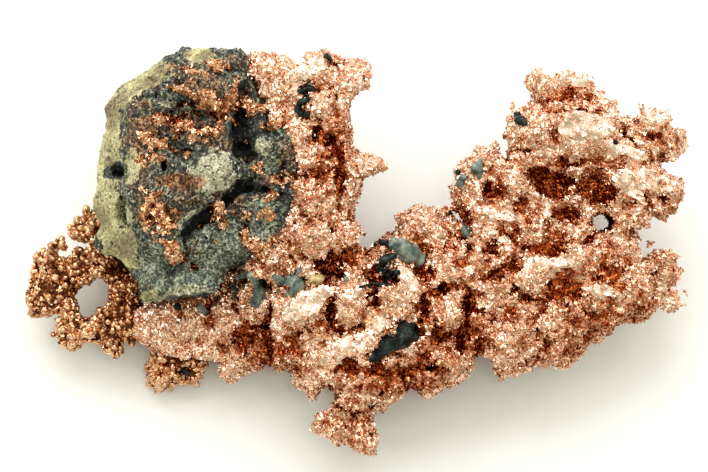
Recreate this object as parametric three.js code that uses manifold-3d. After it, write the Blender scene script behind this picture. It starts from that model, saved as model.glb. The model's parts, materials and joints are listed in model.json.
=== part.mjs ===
// Native copper that grew in branches through and over a block of altered lava. A loose hand specimen,
// lying on its back. Millimetres, +Z up, origin on the table under the middle of its box.
//
// Every piece is drawn in the specimen's own face frame: across, up the face, and out of the face. The
// whole face is then tipped towards -Y and lifted, and the table trims what would pass below it.

import * as THREE from 'three';
import { mergeVertices } from 'three/addons/utils/BufferGeometryUtils.js';
import { ConvexGeometry } from 'three/addons/geometries/ConvexGeometry.js';
import Module from 'manifold-3d';

const wasm = await Module();
wasm.setup();

// ---- driving dimensions, millimetres and degrees ----

const FACE_TIP = 12;          // how far the face leans towards -Y
const FACE_LIFT = 12;         // height of the face frame's origin above the table
const GAP = 0.3;              // clearance between pieces that grew against each other
const ROCK_GROWTH = 1.04;     // scale of the rock when it makes room for itself in the copper
const ROUGHNESS = 0.14;       // how far a lump's corners stray from its radius, as a share of it
const REACH = 60;             // longer than the specimen, for cutting blocks
const CUT_DEPTH = 14;         // how far a fork cut clears sideways
const SMALL_LUMP = 2.5;       // lumps under this radius are plain icosahedra
const EDGE_TAPER = 0.84;      // a plate's front and back faces against its widest outline, half way down
const HOLE_SIDES = 8;         // corners of a hole's rim

// ---- helpers: three.js geometry in, manifold solids joined and cut, three.js geometry out ----

/** A closed three.js geometry as a solid. */
function solid(geometry) {
  for (const name of Object.keys(geometry.attributes)) {
    if (name !== 'position') geometry.deleteAttribute(name);
  }
  const merged = mergeVertices(geometry, 1e-5);
  const mesh = new wasm.Mesh({
    numProp: 3,
    vertProperties: new Float32Array(merged.attributes.position.array),
    triVerts: new Uint32Array(merged.index.array),
  });
  return new wasm.Manifold(mesh);
}

/** A solid as a three.js geometry. */
function geometryOf(shape) {
  const mesh = shape.getMesh();
  const geometry = new THREE.BufferGeometry();
  geometry.setAttribute('position', new THREE.BufferAttribute(mesh.vertProperties, 3));
  geometry.setIndex(new THREE.BufferAttribute(mesh.triVerts, 1));
  return geometry;
}

/** A number from 0 to 1 that is always the same for the same seed. */
function chance(seed) {
  const wave = Math.sin(seed * 12.9898 + 4.1) * 43758.5453;
  return wave - Math.floor(wave);
}

/** A lump of rough crystals: an icosahedron turned at random, its corners pushed in and out. */
function lump([across, up, out, radius], grow = 0) {
  const size = radius + grow;
  const detail = radius < SMALL_LUMP ? 0 : 1;
  const seed = across * 7.3 + up * 3.1 + out;
  const geometry = mergeVertices(
    new THREE.IcosahedronGeometry(size, detail).deleteAttribute('normal').deleteAttribute('uv'), 1e-4);
  const corners = geometry.attributes.position;
  const corner = new THREE.Vector3();
  for (let i = 0; i < corners.count; i += 1) {
    corner.fromBufferAttribute(corners, i);
    corner.multiplyScalar(1 + ROUGHNESS * (2 * chance(seed + i * 1.7) - 1));
    corners.setXYZ(i, corner.x, corner.y, corner.z);
  }
  geometry.rotateX(chance(seed) * Math.PI).rotateY(chance(seed + 5) * Math.PI);
  geometry.translate(across, up, out);
  return solid(geometry);
}

/** A plate with the branch's outline and holes half way down, drawn in towards its front and back. */
function plate(outline, from, to, holes = []) {
  const shape = new THREE.Shape(outline.map(([across, up]) => new THREE.Vector2(across, up)));
  for (const [across, up, halfWidth, halfHeight] of holes) {
    const rim = new THREE.EllipseCurve(across, up, halfWidth, halfHeight).getPoints(HOLE_SIDES);
    shape.holes.push(new THREE.Path(rim.slice(1)));
  }
  const thickness = to - from;
  const geometry = new THREE.ExtrudeGeometry(shape, { depth: thickness, steps: 2, bevelEnabled: false });
  const middle = new THREE.Box2().setFromPoints(shape.getPoints()).getCenter(new THREE.Vector2());
  const corners = geometry.attributes.position;
  for (let i = 0; i < corners.count; i += 1) {
    const atRim = Math.abs(corners.getZ(i) - thickness / 2) < thickness / 4;
    const draw = atRim ? 1 : EDGE_TAPER;
    corners.setX(i, middle.x + draw * (corners.getX(i) - middle.x));
    corners.setY(i, middle.y + draw * (corners.getY(i) - middle.y));
  }
  geometry.translate(0, 0, from);
  return solid(geometry);
}

/** The block that a fork cut clears: one long side lies half a gap from the fork's plane. */
function forkCut({ at: [across, up, out], angle, lean, half }, side) {
  const block = new THREE.BoxGeometry(half * 2, CUT_DEPTH, REACH);
  block.translate(0, side * (CUT_DEPTH / 2 - GAP / 2), 0);
  block.rotateX(THREE.MathUtils.degToRad(lean));
  block.rotateZ(THREE.MathUtils.degToRad(angle));
  block.translate(across, up, out);
  return solid(block);
}

const joined = (parts) => parts.reduce((whole, part) => whole.add(part));
const without = (whole, parts) => parts.reduce((rest, part) => rest.subtract(part), whole);

// ---- forks: the planes where the branches part ----
// A fork's line runs through its point at its angle in the face. Its plane leans over behind the face.
// Its first branch lies to the right of the line, seen along its angle, and its second to the left.

const FORKS = {
  column_centre: { at: [-3.6, -2.6, 0], angle: 25, lean: 0, half: 7 },
  ledge_column: { at: [-11, -4.9, 0], angle: 0, lean: 0, half: 3 },
  centre_ledge: { at: [-9.5, -10.5, 0], angle: 90, lean: 0, half: 8 },
  knob_ledge: { at: [-20.8, -14.4, 0], angle: -8, lean: 0, half: 5 },
  ledge_loop: { at: [-26.3, -11, 0], angle: 90, lean: 0, half: 5 },
  pendant_centre: { at: [-0.4, -20.3, 2], angle: -4, lean: 24, half: 3 },
  right_centre: { at: [13.8, -7.6, 0], angle: 94, lean: 0, half: 9.4 },
  right_crown: { at: [26.4, 15.2, 2], angle: 0, lean: -30, half: 7 },
  wing_right: { at: [32.7, 8, 2], angle: 105.5, lean: 30, half: 7.6 },
  tail_right: { at: [32.6, -7, 1], angle: 66.7, lean: 30, half: 6.6 },
};
const RIGHT_OF = 1;
const LEFT_OF = -1;

// ---- copper branches: outline in the face, depth of the plate, holes, lumps and fork cuts ----
// A lump is [across, up, out, radius]; a hole is [across, up, half width, half height].

const BRANCHES = {
  copper_left_loop: {
    outline: [
      [-31.6, 3.4], [-32.9, 2.5], [-33.1, 1.5], [-34.3, 0.6], [-33.9, -0.3], [-32.5, 0], [-31.7, -0.9],
      [-32.9, -1.5], [-33.9, -1], [-34.9, -2.3], [-36.4, -2.5], [-35.2, -0.7], [-37, -0.8], [-38.4, -3.7],
      [-40, -7.7], [-39.1, -9.3], [-37.7, -9.8], [-36.1, -9], [-35.8, -10.7], [-36.2, -12.1], [-34.8, -14.2],
      [-32.9, -12.8], [-30.3, -12.7], [-29.3, -14.7], [-28, -14.7], [-28.7, -12.7], [-25.5, -12.4],
      [-25.5, -6], [-24, 0], [-29, 3],
    ],
    depth: [-6.6, -2],
    holes: [[-31.6, -7.6, 1.3, 2.1]],
    lumps: [
      [-33.4, 1.3, -2.6, 1.3], [-35.2, -4.4, -4, 2.4], [-37.6, -6.9, -4.4, 2], [-34.7, -8.9, -4.6, 1.8],
      [-34, -11.7, -5, 1.9], [-30.6, -11.6, -4.8, 2], [-28, -10.2, -4.6, 2.2], [-28.9, -5.4, -3.6, 2],
    ],
    forks: [['ledge_loop', LEFT_OF]],
    meetsRock: true,
  },
  copper_lower_ledge: {
    outline: [
      [-29, -9], [-20, -7.4], [-16, -5.6], [-14, -3], [-7.5, -3], [-7, -15.2], [-10.7, -15.1],
      [-11.7, -15.5], [-13.2, -16.3], [-14.1, -17.3], [-15.3, -17.6], [-15.7, -16.9], [-16.5, -15.2],
      [-17.4, -17], [-23, -16.5], [-25, -12.6], [-29, -11.7],
    ],
    depth: [-8.4, -1.6],
    lumps: [
      [-22.8, -10.6, -4.4, 2.8], [-18.4, -10.4, -3.8, 3.2], [-14, -9.6, -2.2, 3.6], [-11.4, -7.8, 0.6, 2.8],
      [-11.8, -12.8, -2.6, 3.1], [-15.5, -13.4, -5, 2.3], [-14.8, -16.3, -5.4, 1.2], [-17.4, -10.8, -8, 2.8],
    ],
    forks: [['centre_ledge', LEFT_OF], ['knob_ledge', LEFT_OF], ['ledge_loop', RIGHT_OF],
      ['ledge_column', RIGHT_OF]],
    meetsRock: true,
  },
  copper_lower_knob: {
    outline: [
      [-24, -10], [-24.7, -14.7], [-24.9, -17.7], [-23.7, -18.7], [-21.9, -17.5], [-19.9, -18],
      [-17.9, -15.5], [-17, -10.5],
    ],
    depth: [-8.8, -4.4],
    lumps: [[-22.8, -16.1, -6.6, 2.3], [-19.9, -16, -6.6, 1.9]],
    forks: [['knob_ledge', RIGHT_OF]],
  },
  copper_upper_column: {
    outline: [
      [-12.4, 17.3], [-12.4, 20.9], [-11.4, 21.5], [-8.1, 21.7], [-7.5, 20.3], [-6.7, 20], [-5, 22.1],
      [-2.9, 22.1], [-2.1, 21.4], [-0.5, 21.1], [1.4, 21.4], [2.1, 18.9], [0.7, 17.3], [-0.6, 14.8],
      [-0.2, 11.9], [0.3, 10], [3.7, 8.9], [4, 8.3], [0.9, 7], [0.7, 5.5], [-0.4, 1.7], [0.8, 0.7],
      [1.5, -6], [-9, -10], [-13, -9], [-13, -3], [-12, 0.4], [-12, 16.6],
    ],
    depth: [-3.4, 7],
    lumps: [
      [-10.5, 19.2, 5, 2.7], [-4.7, 19.4, 4.4, 3], [-0.6, 19.2, 4, 2.2], [-7.3, 17.8, 5.4, 2.3],
      [-4, 15.2, 5, 3.1], [-6.2, 12.4, 5.4, 2.6], [-2.4, 11.8, 4.4, 2.3], [-4.6, 9, 5.4, 3.1],
      [-1.3, 8.2, 4, 2.2], [2.5, 8.5, 3.4, 1.1], [-4.4, 4.8, 5.4, 3.5], [-4.8, 0.2, 5.4, 3.7],
      [-1.2, -0.2, 4.6, 2.1], [-8.3, -3.2, 4.4, 2.9], [-4.6, 17, -1, 3], [-4, 8.6, -1.6, 3.4],
      [-4.4, 0.6, -1.8, 3.4],
    ],
    forks: [['column_centre', LEFT_OF], ['ledge_column', LEFT_OF]],
    meetsRock: true,
  },
  copper_centre_body: {
    outline: [
      [1.3, -1.9], [2.7, -0.9], [3.7, 0.2], [5.3, -0.1], [5.3, 2.4], [8.1, 3.7], [11.1, 3], [12.8, 1.4],
      [17, 0], [18, -14], [13.8, -16.7], [13.1, -17.6], [11.7, -17.9], [9.5, -19.6], [8.5, -19.3],
      [7.3, -18.2], [4.5, -20.3], [3.7, -21], [2, -20.9], [1.6, -19.9], [1.1, -23.5], [-2.1, -23.5],
      [-2.1, -19.3], [-2.9, -18.1], [-4.3, -18.4], [-5.1, -19.7], [-6.7, -18.3], [-7.7, -15.9],
      [-13, -15.6], [-13, -3], [-1, 4],
    ],
    depth: [-7, 4.6],
    lumps: [
      [-6, -8.2, 2.8, 4], [-3.6, -13.4, 2.2, 4.1], [-5.5, -16, 0.4, 2.3], [-1, -7.5, 3.6, 4.1],
      [1.4, -12.4, 2.8, 3.8], [0.5, -17.4, 1.2, 2.8], [4.8, -2.6, 3.8, 2.9], [8.4, 0.4, 2.2, 2.8],
      [11.1, 0.4, 1.6, 2.1], [6, -7.4, 3.8, 3.8], [5.2, -13.2, 3, 3.4], [4, -17.6, 0.8, 2.6],
      [10.2, -3.8, 3.1, 3.2], [10.4, -9.2, 3.2, 3.5], [9.4, -14.8, 1.8, 3.3], [0, -8, -4, 5],
      [7.6, -7.6, -4, 4.6], [1.6, -12.5, -7.2, 3.6],
    ],
    forks: [['column_centre', RIGHT_OF], ['centre_ledge', RIGHT_OF], ['pendant_centre', LEFT_OF],
      ['right_centre', LEFT_OF]],
    meetsRock: true,
  },
  copper_pendant: {
    outline: [
      [-2.3, -17], [-3.1, -20.6], [-4.5, -21.7], [-4.9, -22.9], [-2.9, -24.2], [-1.9, -25], [-0.7, -24.7],
      [0.3, -25.5], [2.4, -25.9], [3, -24.3], [2.1, -22.1], [1.2, -17],
    ],
    depth: [-1.2, 3],
    lumps: [[-1.2, -22.4, 1, 2], [0.9, -23.6, 0.8, 1.8], [-3.2, -22.6, 0.9, 1.3]],
    forks: [['pendant_centre', RIGHT_OF]],
  },
  copper_right_body: {
    outline: [
      [9.5, -14.2], [15.9, -14.3], [16.8, -14.6], [16.9, -16.5], [17.6, -17.8], [18.7, -17], [21.1, -16.7],
      [21.5, -15.6], [25.1, -16], [27.3, -14.7], [28.5, -12.3], [30.6, -12.2], [38, -9], [38, -2.6],
      [33.9, -2.1], [34.4, -0.7], [33.9, 1.1], [37, 1.4], [35, 13], [32, 18.5], [20.8, 18.4], [19.5, 15.5],
      [18.2, 13.1],
      [18.3, 11.7], [19.1, 10.5], [18.1, 8.7], [17.5, 10.3], [15.3, 10.7], [12.7, 8.5], [11.7, 4.9],
      [11.9, 3.7], [13.3, 1.8], [9.5, 0.6],
    ],
    depth: [-7.4, 4.4],
    holes: [[29.6, 1.6, 1.1, 0.9]],
    lumps: [
      [15, 6.2, 2.2, 3.1], [15.4, 2.4, 1.4, 2.2], [22, 12.6, 3.4, 3.1], [26.4, 12.2, 3.8, 3.5],
      [30, 11.2, 3.4, 2.7], [20.2, 7.2, 2.8, 3.4], [31, 6.4, 3.4, 2.6], [17.2, -1.8, 2.6, 3.3],
      [17, -7, 2.6, 3.2], [18.4, -12.2, 2.2, 3.7], [21.8, 0.8, 2.2, 3], [21.3, -4.8, 2.2, 3.7],
      [26.2, -2, 2.6, 3], [31.4, -1.6, 2.4, 2.4], [24, -10.8, 2, 3.9], [28.3, -7.2, 2.2, 3.2],
      [19.2, -15, 0.6, 2.3], [20, 8, -4, 4.6], [26.4, 7.6, -4.2, 4.2], [20, -5.6, -4.6, 5.4],
      [27, -6, -4.4, 4.2], [18.5, -10.5, -8, 3.4], [27, -7, -8.2, 3], [23.5, 8, -9.8, 3.9],
    ],
    forks: [['right_centre', RIGHT_OF], ['right_crown', RIGHT_OF], ['wing_right', LEFT_OF],
      ['tail_right', LEFT_OF]],
  },
  copper_crown: {
    outline: [
      [21.4, 11.5], [21.5, 16.4], [21.4, 17.7], [20.5, 18.3], [20.8, 19.5], [22.1, 20.1], [22.9, 18.7],
      [24.1, 18.9], [24.9, 19.8], [27.7, 19.2], [28.1, 18.5], [29.9, 17.1], [29.7, 16.3], [31.2, 15.8],
      [29.6, 15], [29, 11.5],
    ],
    depth: [-3, 3],
    lumps: [[22, 18.4, 0.6, 1.4], [25.8, 17.4, 1.2, 2.3], [28.2, 16.4, 0.8, 1.8], [24.8, 16.6, -2.2, 2.2]],
    forks: [['right_crown', LEFT_OF]],
  },
  copper_upper_wing: {
    outline: [
      [26, 13.6], [33.1, 14.2], [33.7, 13.5], [34.3, 14.1], [34, 15], [36.7, 14.9], [38.4, 13.1],
      [39.5, 12.5], [39.7, 10.3], [38.3, 8.7], [37.1, 9.9], [36.8, 9.3], [38.1, 6.9], [39.3, 6.5],
      [39.7, 5.1], [38.3, 2.9], [36.7, 1.9], [36.2, 2.7], [34.9, 2.1], [34.2, 1.2], [29, 1],
    ],
    depth: [-2.4, 4],
    lumps: [
      [35.8, 12.6, 1.6, 2.3], [38.2, 11, 1.2, 1.6], [34.4, 10.2, 2, 2.3], [35.2, 6.2, 2, 2.7],
      [37.7, 4.8, 1.2, 1.7], [34.6, 8, -1.4, 2.4],
    ],
    forks: [['wing_right', RIGHT_OF]],
  },
  copper_tail: {
    outline: [
      [29.5, -0.8], [35.3, -2.7], [35.1, -0.7], [35.9, -0.7], [36.3, -1.7], [38.1, -1.9], [39.9, -4],
      [39.3, -4.7], [39, -6.5], [39.7, -8.3], [39.1, -9.2], [38.3, -9.3], [36.7, -8.3], [35.5, -10],
      [32.5, -10.5], [26.5, -10.5],
    ],
    depth: [-3.6, 1],
    holes: [[35.7, -4.5, 0.4, 0.4], [38.1, -6.2, 0.5, 0.5]],
    lumps: [
      [33.9, -4.6, -0.8, 1.3], [37.2, -3.2, -1, 1.3], [33.6, -8, -1.2, 2.1], [36.1, -7, -1.3, 1.3],
    ],
    forks: [['tail_right', RIGHT_OF]],
  },
};

// ---- other minerals: blobs along short paths, sitting in pockets of the copper ----
// Each point is [across, up, out, radius].

const CLOTS = {
  clot_waxy_centre: {
    tone: 0x1f2d24,
    path: [[2.6, -14.1, 6, 1.2], [4.1, -12.5, 6.5, 1.5], [5.9, -11.3, 6.6, 1.4]],
  },
  clot_saddle: { tone: 0x6d7468, path: [[5, -1.2, 6.6, 1.2], [6.5, -2, 6.4, 1.6], [4.5, -3, 6.8, 1.2]] },
  clot_hook: { tone: 0x2a3a30, path: [[-6.1, 16.6, 8, 0.9], [-5.2, 15.4, 8.1, 0.9], [-6.2, 14.3, 7.6, 0.8]] },
  clot_bow: { tone: 0x6f786b, path: [[-8.8, -4.4, 7.1, 1.3], [-7.5, -5.4, 7, 1.1], [-6.2, -6.2, 7, 1.2]] },
  clot_drip: { tone: 0x66705f, path: [[-12.6, -6, 3.6, 1.3], [-11.9, -7.5, 3.8, 1.2]] },
  clot_bead: { tone: 0x9a9a90, path: [[13.3, 0.5, 3.6, 0.8]] },
};

// ---- the rock: broad block, sloped lower wedge, cracks ----
// Corners are [across, up, out].

const ROCK_TOP = 9;
const ROCK_CENTRE = [-19.5, 7.5, -2];
const ROCK_CORNERS = [
  // the broken top
  [-27.4, 4, 6.8], [-26.6, 11.6, 7.4], [-24.6, 16.4, 7], [-19.4, 20.6, 7.2], [-14, 20.8, 6.6],
  [-10.2, 14, 7.4], [-9.3, 8, 7.8], [-9.8, 1.4, 7.4], [-12.4, -2, 6.6], [-23.8, -3.4, 6.4],
  [-26.4, 0, 6.4], [-22.5, 9, 9], [-15.5, 12.5, 9.2], [-14.5, 4, 8.8], [-20.5, 2, 8.4],
  // the waist, its widest outline
  [-31.6, 3.4, 1.4], [-30.4, 10.4, 2], [-29.7, 16.2, 1.6], [-28.4, 18, 1], [-20.4, 22.6, 1.6],
  [-13.2, 22.4, 1.4], [-9.4, 14.6, 2], [-8.5, 8, 2], [-8.8, 0.6, 2], [-11.6, -3.2, 2],
  [-25.4, -6.4, 1.6], [-28.9, -2.2, 1],
  // the broken back, which lies on the table
  [-28.8, 3, -17], [-27.4, 14, -17], [-21, 20.6, -17], [-13.4, 20.2, -17], [-10.6, 14, -17],
  [-10.4, 2, -17], [-14, -2.6, -17], [-23, -4, -17], [-26.8, -1.6, -17],
];
const WEDGE_CORNERS = [
  [-24.4, -3.6, 6.2], [-15.8, -2.6, 6.2], [-16.6, -5, 6], [-22.8, -7, 5.6],
  [-25.8, -5.4, 3.4], [-25.6, -8.2, 3.2], [-21.6, -7.6, 3.6], [-15.2, -4.7, 3.6], [-14, -2, 3.4],
  [-25, -4, -2], [-24.6, -7, -2], [-16, -4.6, -2], [-14.4, -2, -2],
];
const ROCK_LUMPS = [
  [-24.2, 15, 7.6, 3.2], [-17.2, 17.4, 7.2, 3.4], [-16.8, 7.4, 7.4, 3.6], [-24, 5.6, 7, 3.6],
  [-22.4, -0.6, 6.6, 3.2], [-10.9, 10.8, 8.6, 1.6], [-29.6, 14, 0.4, 2], [-29.4, -0.6, 0, 2.2],
];
// A crack is [across, up, length, width, angle], cut this deep into the top of the rock.
const CRACK_DEPTH = 5;
const CRACKS = [
  [-13, 13.4, 8.5, 1.2, 82], [-16.6, 2.2, 9.5, 0.9, 40], [-12, 5.7, 4, 0.8, -8],
];
const HOLLOWS = [[-30.6, 7.6, 4.4, 1.7], [-28.4, 2.6, 6.6, 1.5], [-20.4, 10.4, 10.6, 2.6]];

/** The convex block through a set of corners. */
const block = (corners) => solid(new ConvexGeometry(corners.map((corner) => new THREE.Vector3(...corner))));

function crack([across, up, length, width, angle]) {
  const slot = new THREE.BoxGeometry(length, width, CRACK_DEPTH * 2);
  slot.rotateX(0.16);
  slot.rotateZ(THREE.MathUtils.degToRad(angle));
  slot.translate(across, up, ROCK_TOP + 1);
  return solid(slot);
}

const rockBody = joined([block(ROCK_CORNERS), block(WEDGE_CORNERS)]);
const rock = without(
  joined([rockBody, ...ROCK_LUMPS.map((place) => lump(place))]),
  [...CRACKS.map(crack), ...HOLLOWS.map((place) => lump(place))],
);

/** The rock swollen about its middle, as the room that it takes in the copper. */
function rockRoom() {
  const [across, up, out] = ROCK_CENTRE;
  const lumps = ROCK_LUMPS.map((place) => lump(place, GAP));
  const swollen = rockBody.translate([-across, -up, -out]).scale(ROCK_GROWTH).translate([across, up, out]);
  return joined([swollen, ...lumps]);
}

// ---- branches and clots as solids in the face frame ----

const clotSolid = (clot, grow) => joined(clot.path.map((place) => lump(place, grow)));

function branchSolid(branch) {
  const [from, to] = branch.depth;
  const lumps = branch.lumps.map((place) => lump(place));
  const whole = joined([plate(branch.outline, from, to, branch.holes), ...lumps]);
  const cuts = branch.forks.map(([fork, side]) => forkCut(FORKS[fork], side));
  if (branch.meetsRock) cuts.push(rockRoom());
  return without(whole, [...cuts, ...Object.values(CLOTS).map((clot) => clotSolid(clot, GAP))]);
}

// ---- laying the specimen on the table ----

const tableBlock = solid(new THREE.BoxGeometry(REACH * 4, REACH * 4, REACH).translate(0, 0, -REACH / 2));

const laidDown = (shape) => shape.rotate([FACE_TIP, 0, 0]).translate([0, 0, FACE_LIFT]).subtract(tableBlock);

const COPPER = new THREE.MeshStandardMaterial({ color: 0xc98a68, roughness: 0.35, metalness: 1 });
const ROCK = new THREE.MeshStandardMaterial({ color: 0x4f5a45, roughness: 0.9, metalness: 0 });

const nugget = new THREE.Group();

function add(name, shape, material) {
  const mesh = new THREE.Mesh(geometryOf(laidDown(shape)), material);
  mesh.name = name;
  nugget.add(mesh);
}

add('matrix_rock', rock, ROCK);
for (const [name, branch] of Object.entries(BRANCHES)) {
  add(name, branchSolid(branch), COPPER);
}
for (const [name, clot] of Object.entries(CLOTS)) {
  add(name, clotSolid(clot, 0), new THREE.MeshStandardMaterial({ color: clot.tone, roughness: 0.5 }));
}

const middle = new THREE.Box3().setFromObject(nugget).getCenter(new THREE.Vector3());
nugget.position.set(-middle.x, -middle.y, 0);

export default nugget;
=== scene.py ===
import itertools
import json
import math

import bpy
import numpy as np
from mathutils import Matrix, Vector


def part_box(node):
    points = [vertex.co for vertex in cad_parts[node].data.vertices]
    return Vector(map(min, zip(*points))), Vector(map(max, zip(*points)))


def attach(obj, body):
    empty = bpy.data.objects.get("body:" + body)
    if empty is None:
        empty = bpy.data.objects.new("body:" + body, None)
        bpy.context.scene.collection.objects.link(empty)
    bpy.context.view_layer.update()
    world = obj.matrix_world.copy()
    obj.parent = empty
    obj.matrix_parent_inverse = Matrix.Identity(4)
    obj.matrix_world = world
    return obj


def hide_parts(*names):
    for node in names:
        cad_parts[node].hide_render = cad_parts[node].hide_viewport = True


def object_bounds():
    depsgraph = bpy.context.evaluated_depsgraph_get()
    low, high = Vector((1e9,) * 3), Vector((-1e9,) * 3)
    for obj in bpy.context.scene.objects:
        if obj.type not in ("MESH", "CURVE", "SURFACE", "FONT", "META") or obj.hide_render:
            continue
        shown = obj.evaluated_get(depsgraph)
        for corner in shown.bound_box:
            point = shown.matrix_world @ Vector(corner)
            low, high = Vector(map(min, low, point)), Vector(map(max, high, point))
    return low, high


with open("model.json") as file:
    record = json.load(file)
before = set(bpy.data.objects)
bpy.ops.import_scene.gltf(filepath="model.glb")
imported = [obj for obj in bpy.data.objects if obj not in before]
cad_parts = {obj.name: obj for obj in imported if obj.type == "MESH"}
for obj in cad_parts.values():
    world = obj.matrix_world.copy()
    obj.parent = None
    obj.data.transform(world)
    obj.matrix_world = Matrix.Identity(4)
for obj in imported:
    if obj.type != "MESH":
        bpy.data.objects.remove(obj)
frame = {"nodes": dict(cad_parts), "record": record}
cad_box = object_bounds()

# Native copper on lava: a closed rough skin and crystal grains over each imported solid.
#
# A mass of hackly crystals folds over itself and has holes right through, so no surface of two parameters
# can carry it. Its shape is a field instead: the distance to the solids, worked out on a grid of points
# as whole arrays, pushed in and out by sums of noise, and skinned where it is zero. The grains that cover
# it are whole arrays too. Lengths are in mm until a mesh is made, which is in metres.

import openvdb
from mathutils import Matrix, Vector

MM = 0.001

# ---- places: the face frame that the specimen is drawn in ----

FACE_TIP = math.radians(12)                   # the face leans towards -Y
FACE_ORIGIN = np.array([0.05, 0.936, 12.0])   # mm, where its middle is
FACE_AXES = np.array([
    [1.0, 0.0, 0.0],                                    # across
    [0.0, math.cos(FACE_TIP), math.sin(FACE_TIP)],      # up the face
    [0.0, -math.sin(FACE_TIP), math.cos(FACE_TIP)],     # out of the face
])


def in_face(points):
    """Points in mm as across, up and out of the face: their offset from its middle along its three axes."""
    return (points - FACE_ORIGIN) @ FACE_AXES.T


def from_face(places):
    """Across, up and out of the face as points in mm: the middle plus each amount along its axis."""
    return np.asarray(places, float) @ FACE_AXES + FACE_ORIGIN


# ---- noise: whole arrays in, whole arrays out ----

TURN = np.array(Matrix.Rotation(0.9, 3, Vector((0.4, -0.7, 0.6)).normalized()), np.float32)
CHANCE = np.random.default_rng(1).random((64**3, 3), np.float32)


def chances(cells, seed):
    """Three numbers from 0 to 1 for each whole-number cell: its place in a block of chance numbers 64
    cells wide, which repeats each way and is shifted for each seed."""
    across, along, up = ((cells[:, side] + seed * step) & 63 for side, step in ((0, 37), (1, 11), (2, 23)))
    return CHANCE[(across * 64 + along) * 64 + up]


def ripple(points, size, seed):
    """Smooth noise from -1 to 1 with features of this size: each corner of a cube has a chance value,
    and a point takes their mean, weighted by a smooth step of its place in the cube."""
    spots = (points @ TURN.T) * np.float32(1 / size)
    base = np.floor(spots)
    part = spots - base
    base = base.astype(np.int32)
    ease = part * part * (3 - 2 * part)
    sides = np.stack([1 - ease, ease])
    total = np.zeros(len(points), np.float32)
    for corner in itertools.product((0, 1), repeat=3):
        weight = sides[corner[0], :, 0] * sides[corner[1], :, 1] * sides[corner[2], :, 2]
        total += weight * chances(base + np.array(corner, np.int32), seed)[:, 0]
    return 2 * total - 1


def waves(points, *parts):
    """A sum of smooth noises: for each its height in mm, the size of its features in mm, and its seed."""
    return sum(height * ripple(points, size, seed) for height, size, seed in parts)


def rubble(points, size, seed):
    """How far each point is from the nearest of one random spot per cube of this size, in sizes, and that
    spot's own chance value. The eight cubes whose middles surround the point are enough to look in."""
    spots = points * np.float32(1 / size)
    base = np.floor(spots - np.float32(0.5)).astype(np.int32)
    nearest = np.full(len(points), 9.0, np.float32)
    own = np.zeros(len(points), np.float32)
    for corner in itertools.product((0, 1), repeat=3):
        cell = base + np.array(corner, np.int32)
        chance = chances(cell, seed)
        offset = spots - cell - (np.float32(0.15) + np.float32(0.7) * chance)
        away = np.einsum("ij,ij->i", offset, offset)
        closer = away < nearest
        nearest = np.where(closer, away, nearest)
        own = np.where(closer, chance[:, 0] * 7 % 1, own)
    return np.sqrt(nearest), own


BLOCK = 30000                            # points in a block that a processor's cache can hold


def by_blocks(rule, points, *more):
    """A rule for whole arrays, applied to one block of points after another."""
    count = len(points) // BLOCK + 1
    rows = [np.array_split(np.asarray(values, np.float32), count) for values in (points, *more)]
    return np.concatenate([rule(*blocks) for blocks in zip(*rows)])


def smooth_step(value, low, high):
    """0 below low, 1 above high, and the curve 3t^2 - 2t^3 between them."""
    part = np.clip((value - low) / (high - low), 0, 1)
    return part * part * (3 - 2 * part)


# ---- fields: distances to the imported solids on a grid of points, in mm ----

BAND = 3.0                               # mm, how far from a solid its distance is known
MARGIN = 2.5                             # mm of grid round what it covers


class Grid:
    """A box of evenly spaced points: its spacing in mm, its lowest point in whole spacings, its shape."""

    def __init__(self, low, high, spacing):
        self.spacing = spacing
        self.low = np.floor((np.asarray(low) - MARGIN) / spacing).astype(int)
        self.shape = tuple(np.ceil((np.asarray(high) + MARGIN) / spacing).astype(int) - self.low + 1)

    def corner(self):
        return tuple(int(step) for step in self.low)

    def places(self, mask):
        """The points of a mask, in mm."""
        return ((np.argwhere(mask) + self.low) * self.spacing).astype(np.float32)

    def crop(self, low, high):
        """The part of the grid that a smaller box covers, as slices, and its own grid."""
        first = np.maximum(np.floor((np.asarray(low) - MARGIN) / self.spacing).astype(int) - self.low, 0)
        last = np.ceil((np.asarray(high) + MARGIN) / self.spacing).astype(int) - self.low + 1
        last = np.minimum(last, self.shape)
        part = Grid.__new__(Grid)
        part.spacing = self.spacing
        part.low = self.low + first
        part.shape = tuple(last - first)
        return tuple(slice(a, b) for a, b in zip(first, last)), part


def node_box(node):
    """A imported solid's lowest and highest corners, in mm."""
    return [np.array(corner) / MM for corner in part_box(node)]


def solid_mesh(node):
    """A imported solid's corners in mm, doubles merged, and its triangles."""
    mesh = frame["nodes"][node].data
    corners = np.empty(len(mesh.vertices) * 3, np.float32)
    mesh.vertices.foreach_get("co", corners)
    mesh.calc_loop_triangles()
    triangles = np.empty(len(mesh.loop_triangles) * 3, np.int32)
    mesh.loop_triangles.foreach_get("vertices", triangles)
    corners = corners.reshape(-1, 3) / MM
    keys = np.round(corners * 1e4).astype(np.int64)
    _, first, merged = np.unique(keys, axis=0, return_index=True, return_inverse=True)
    return corners[first].astype(np.float32), merged.ravel()[triangles].reshape(-1, 3).astype(np.uint32)


def distance_to(node, grid):
    """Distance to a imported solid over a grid, negative inside it, no more than the band either way."""
    corners, triangles = solid_mesh(node)
    level = openvdb.FloatGrid.createLevelSetFromPolygons(
        corners,
        triangles=triangles,
        transform=openvdb.createLinearTransform(voxelSize=grid.spacing),
        halfWidth=BAND / grid.spacing,
    )
    field = np.full(grid.shape, BAND, np.float32)
    level.copyToArray(field, ijk=grid.corner())
    return field


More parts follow.
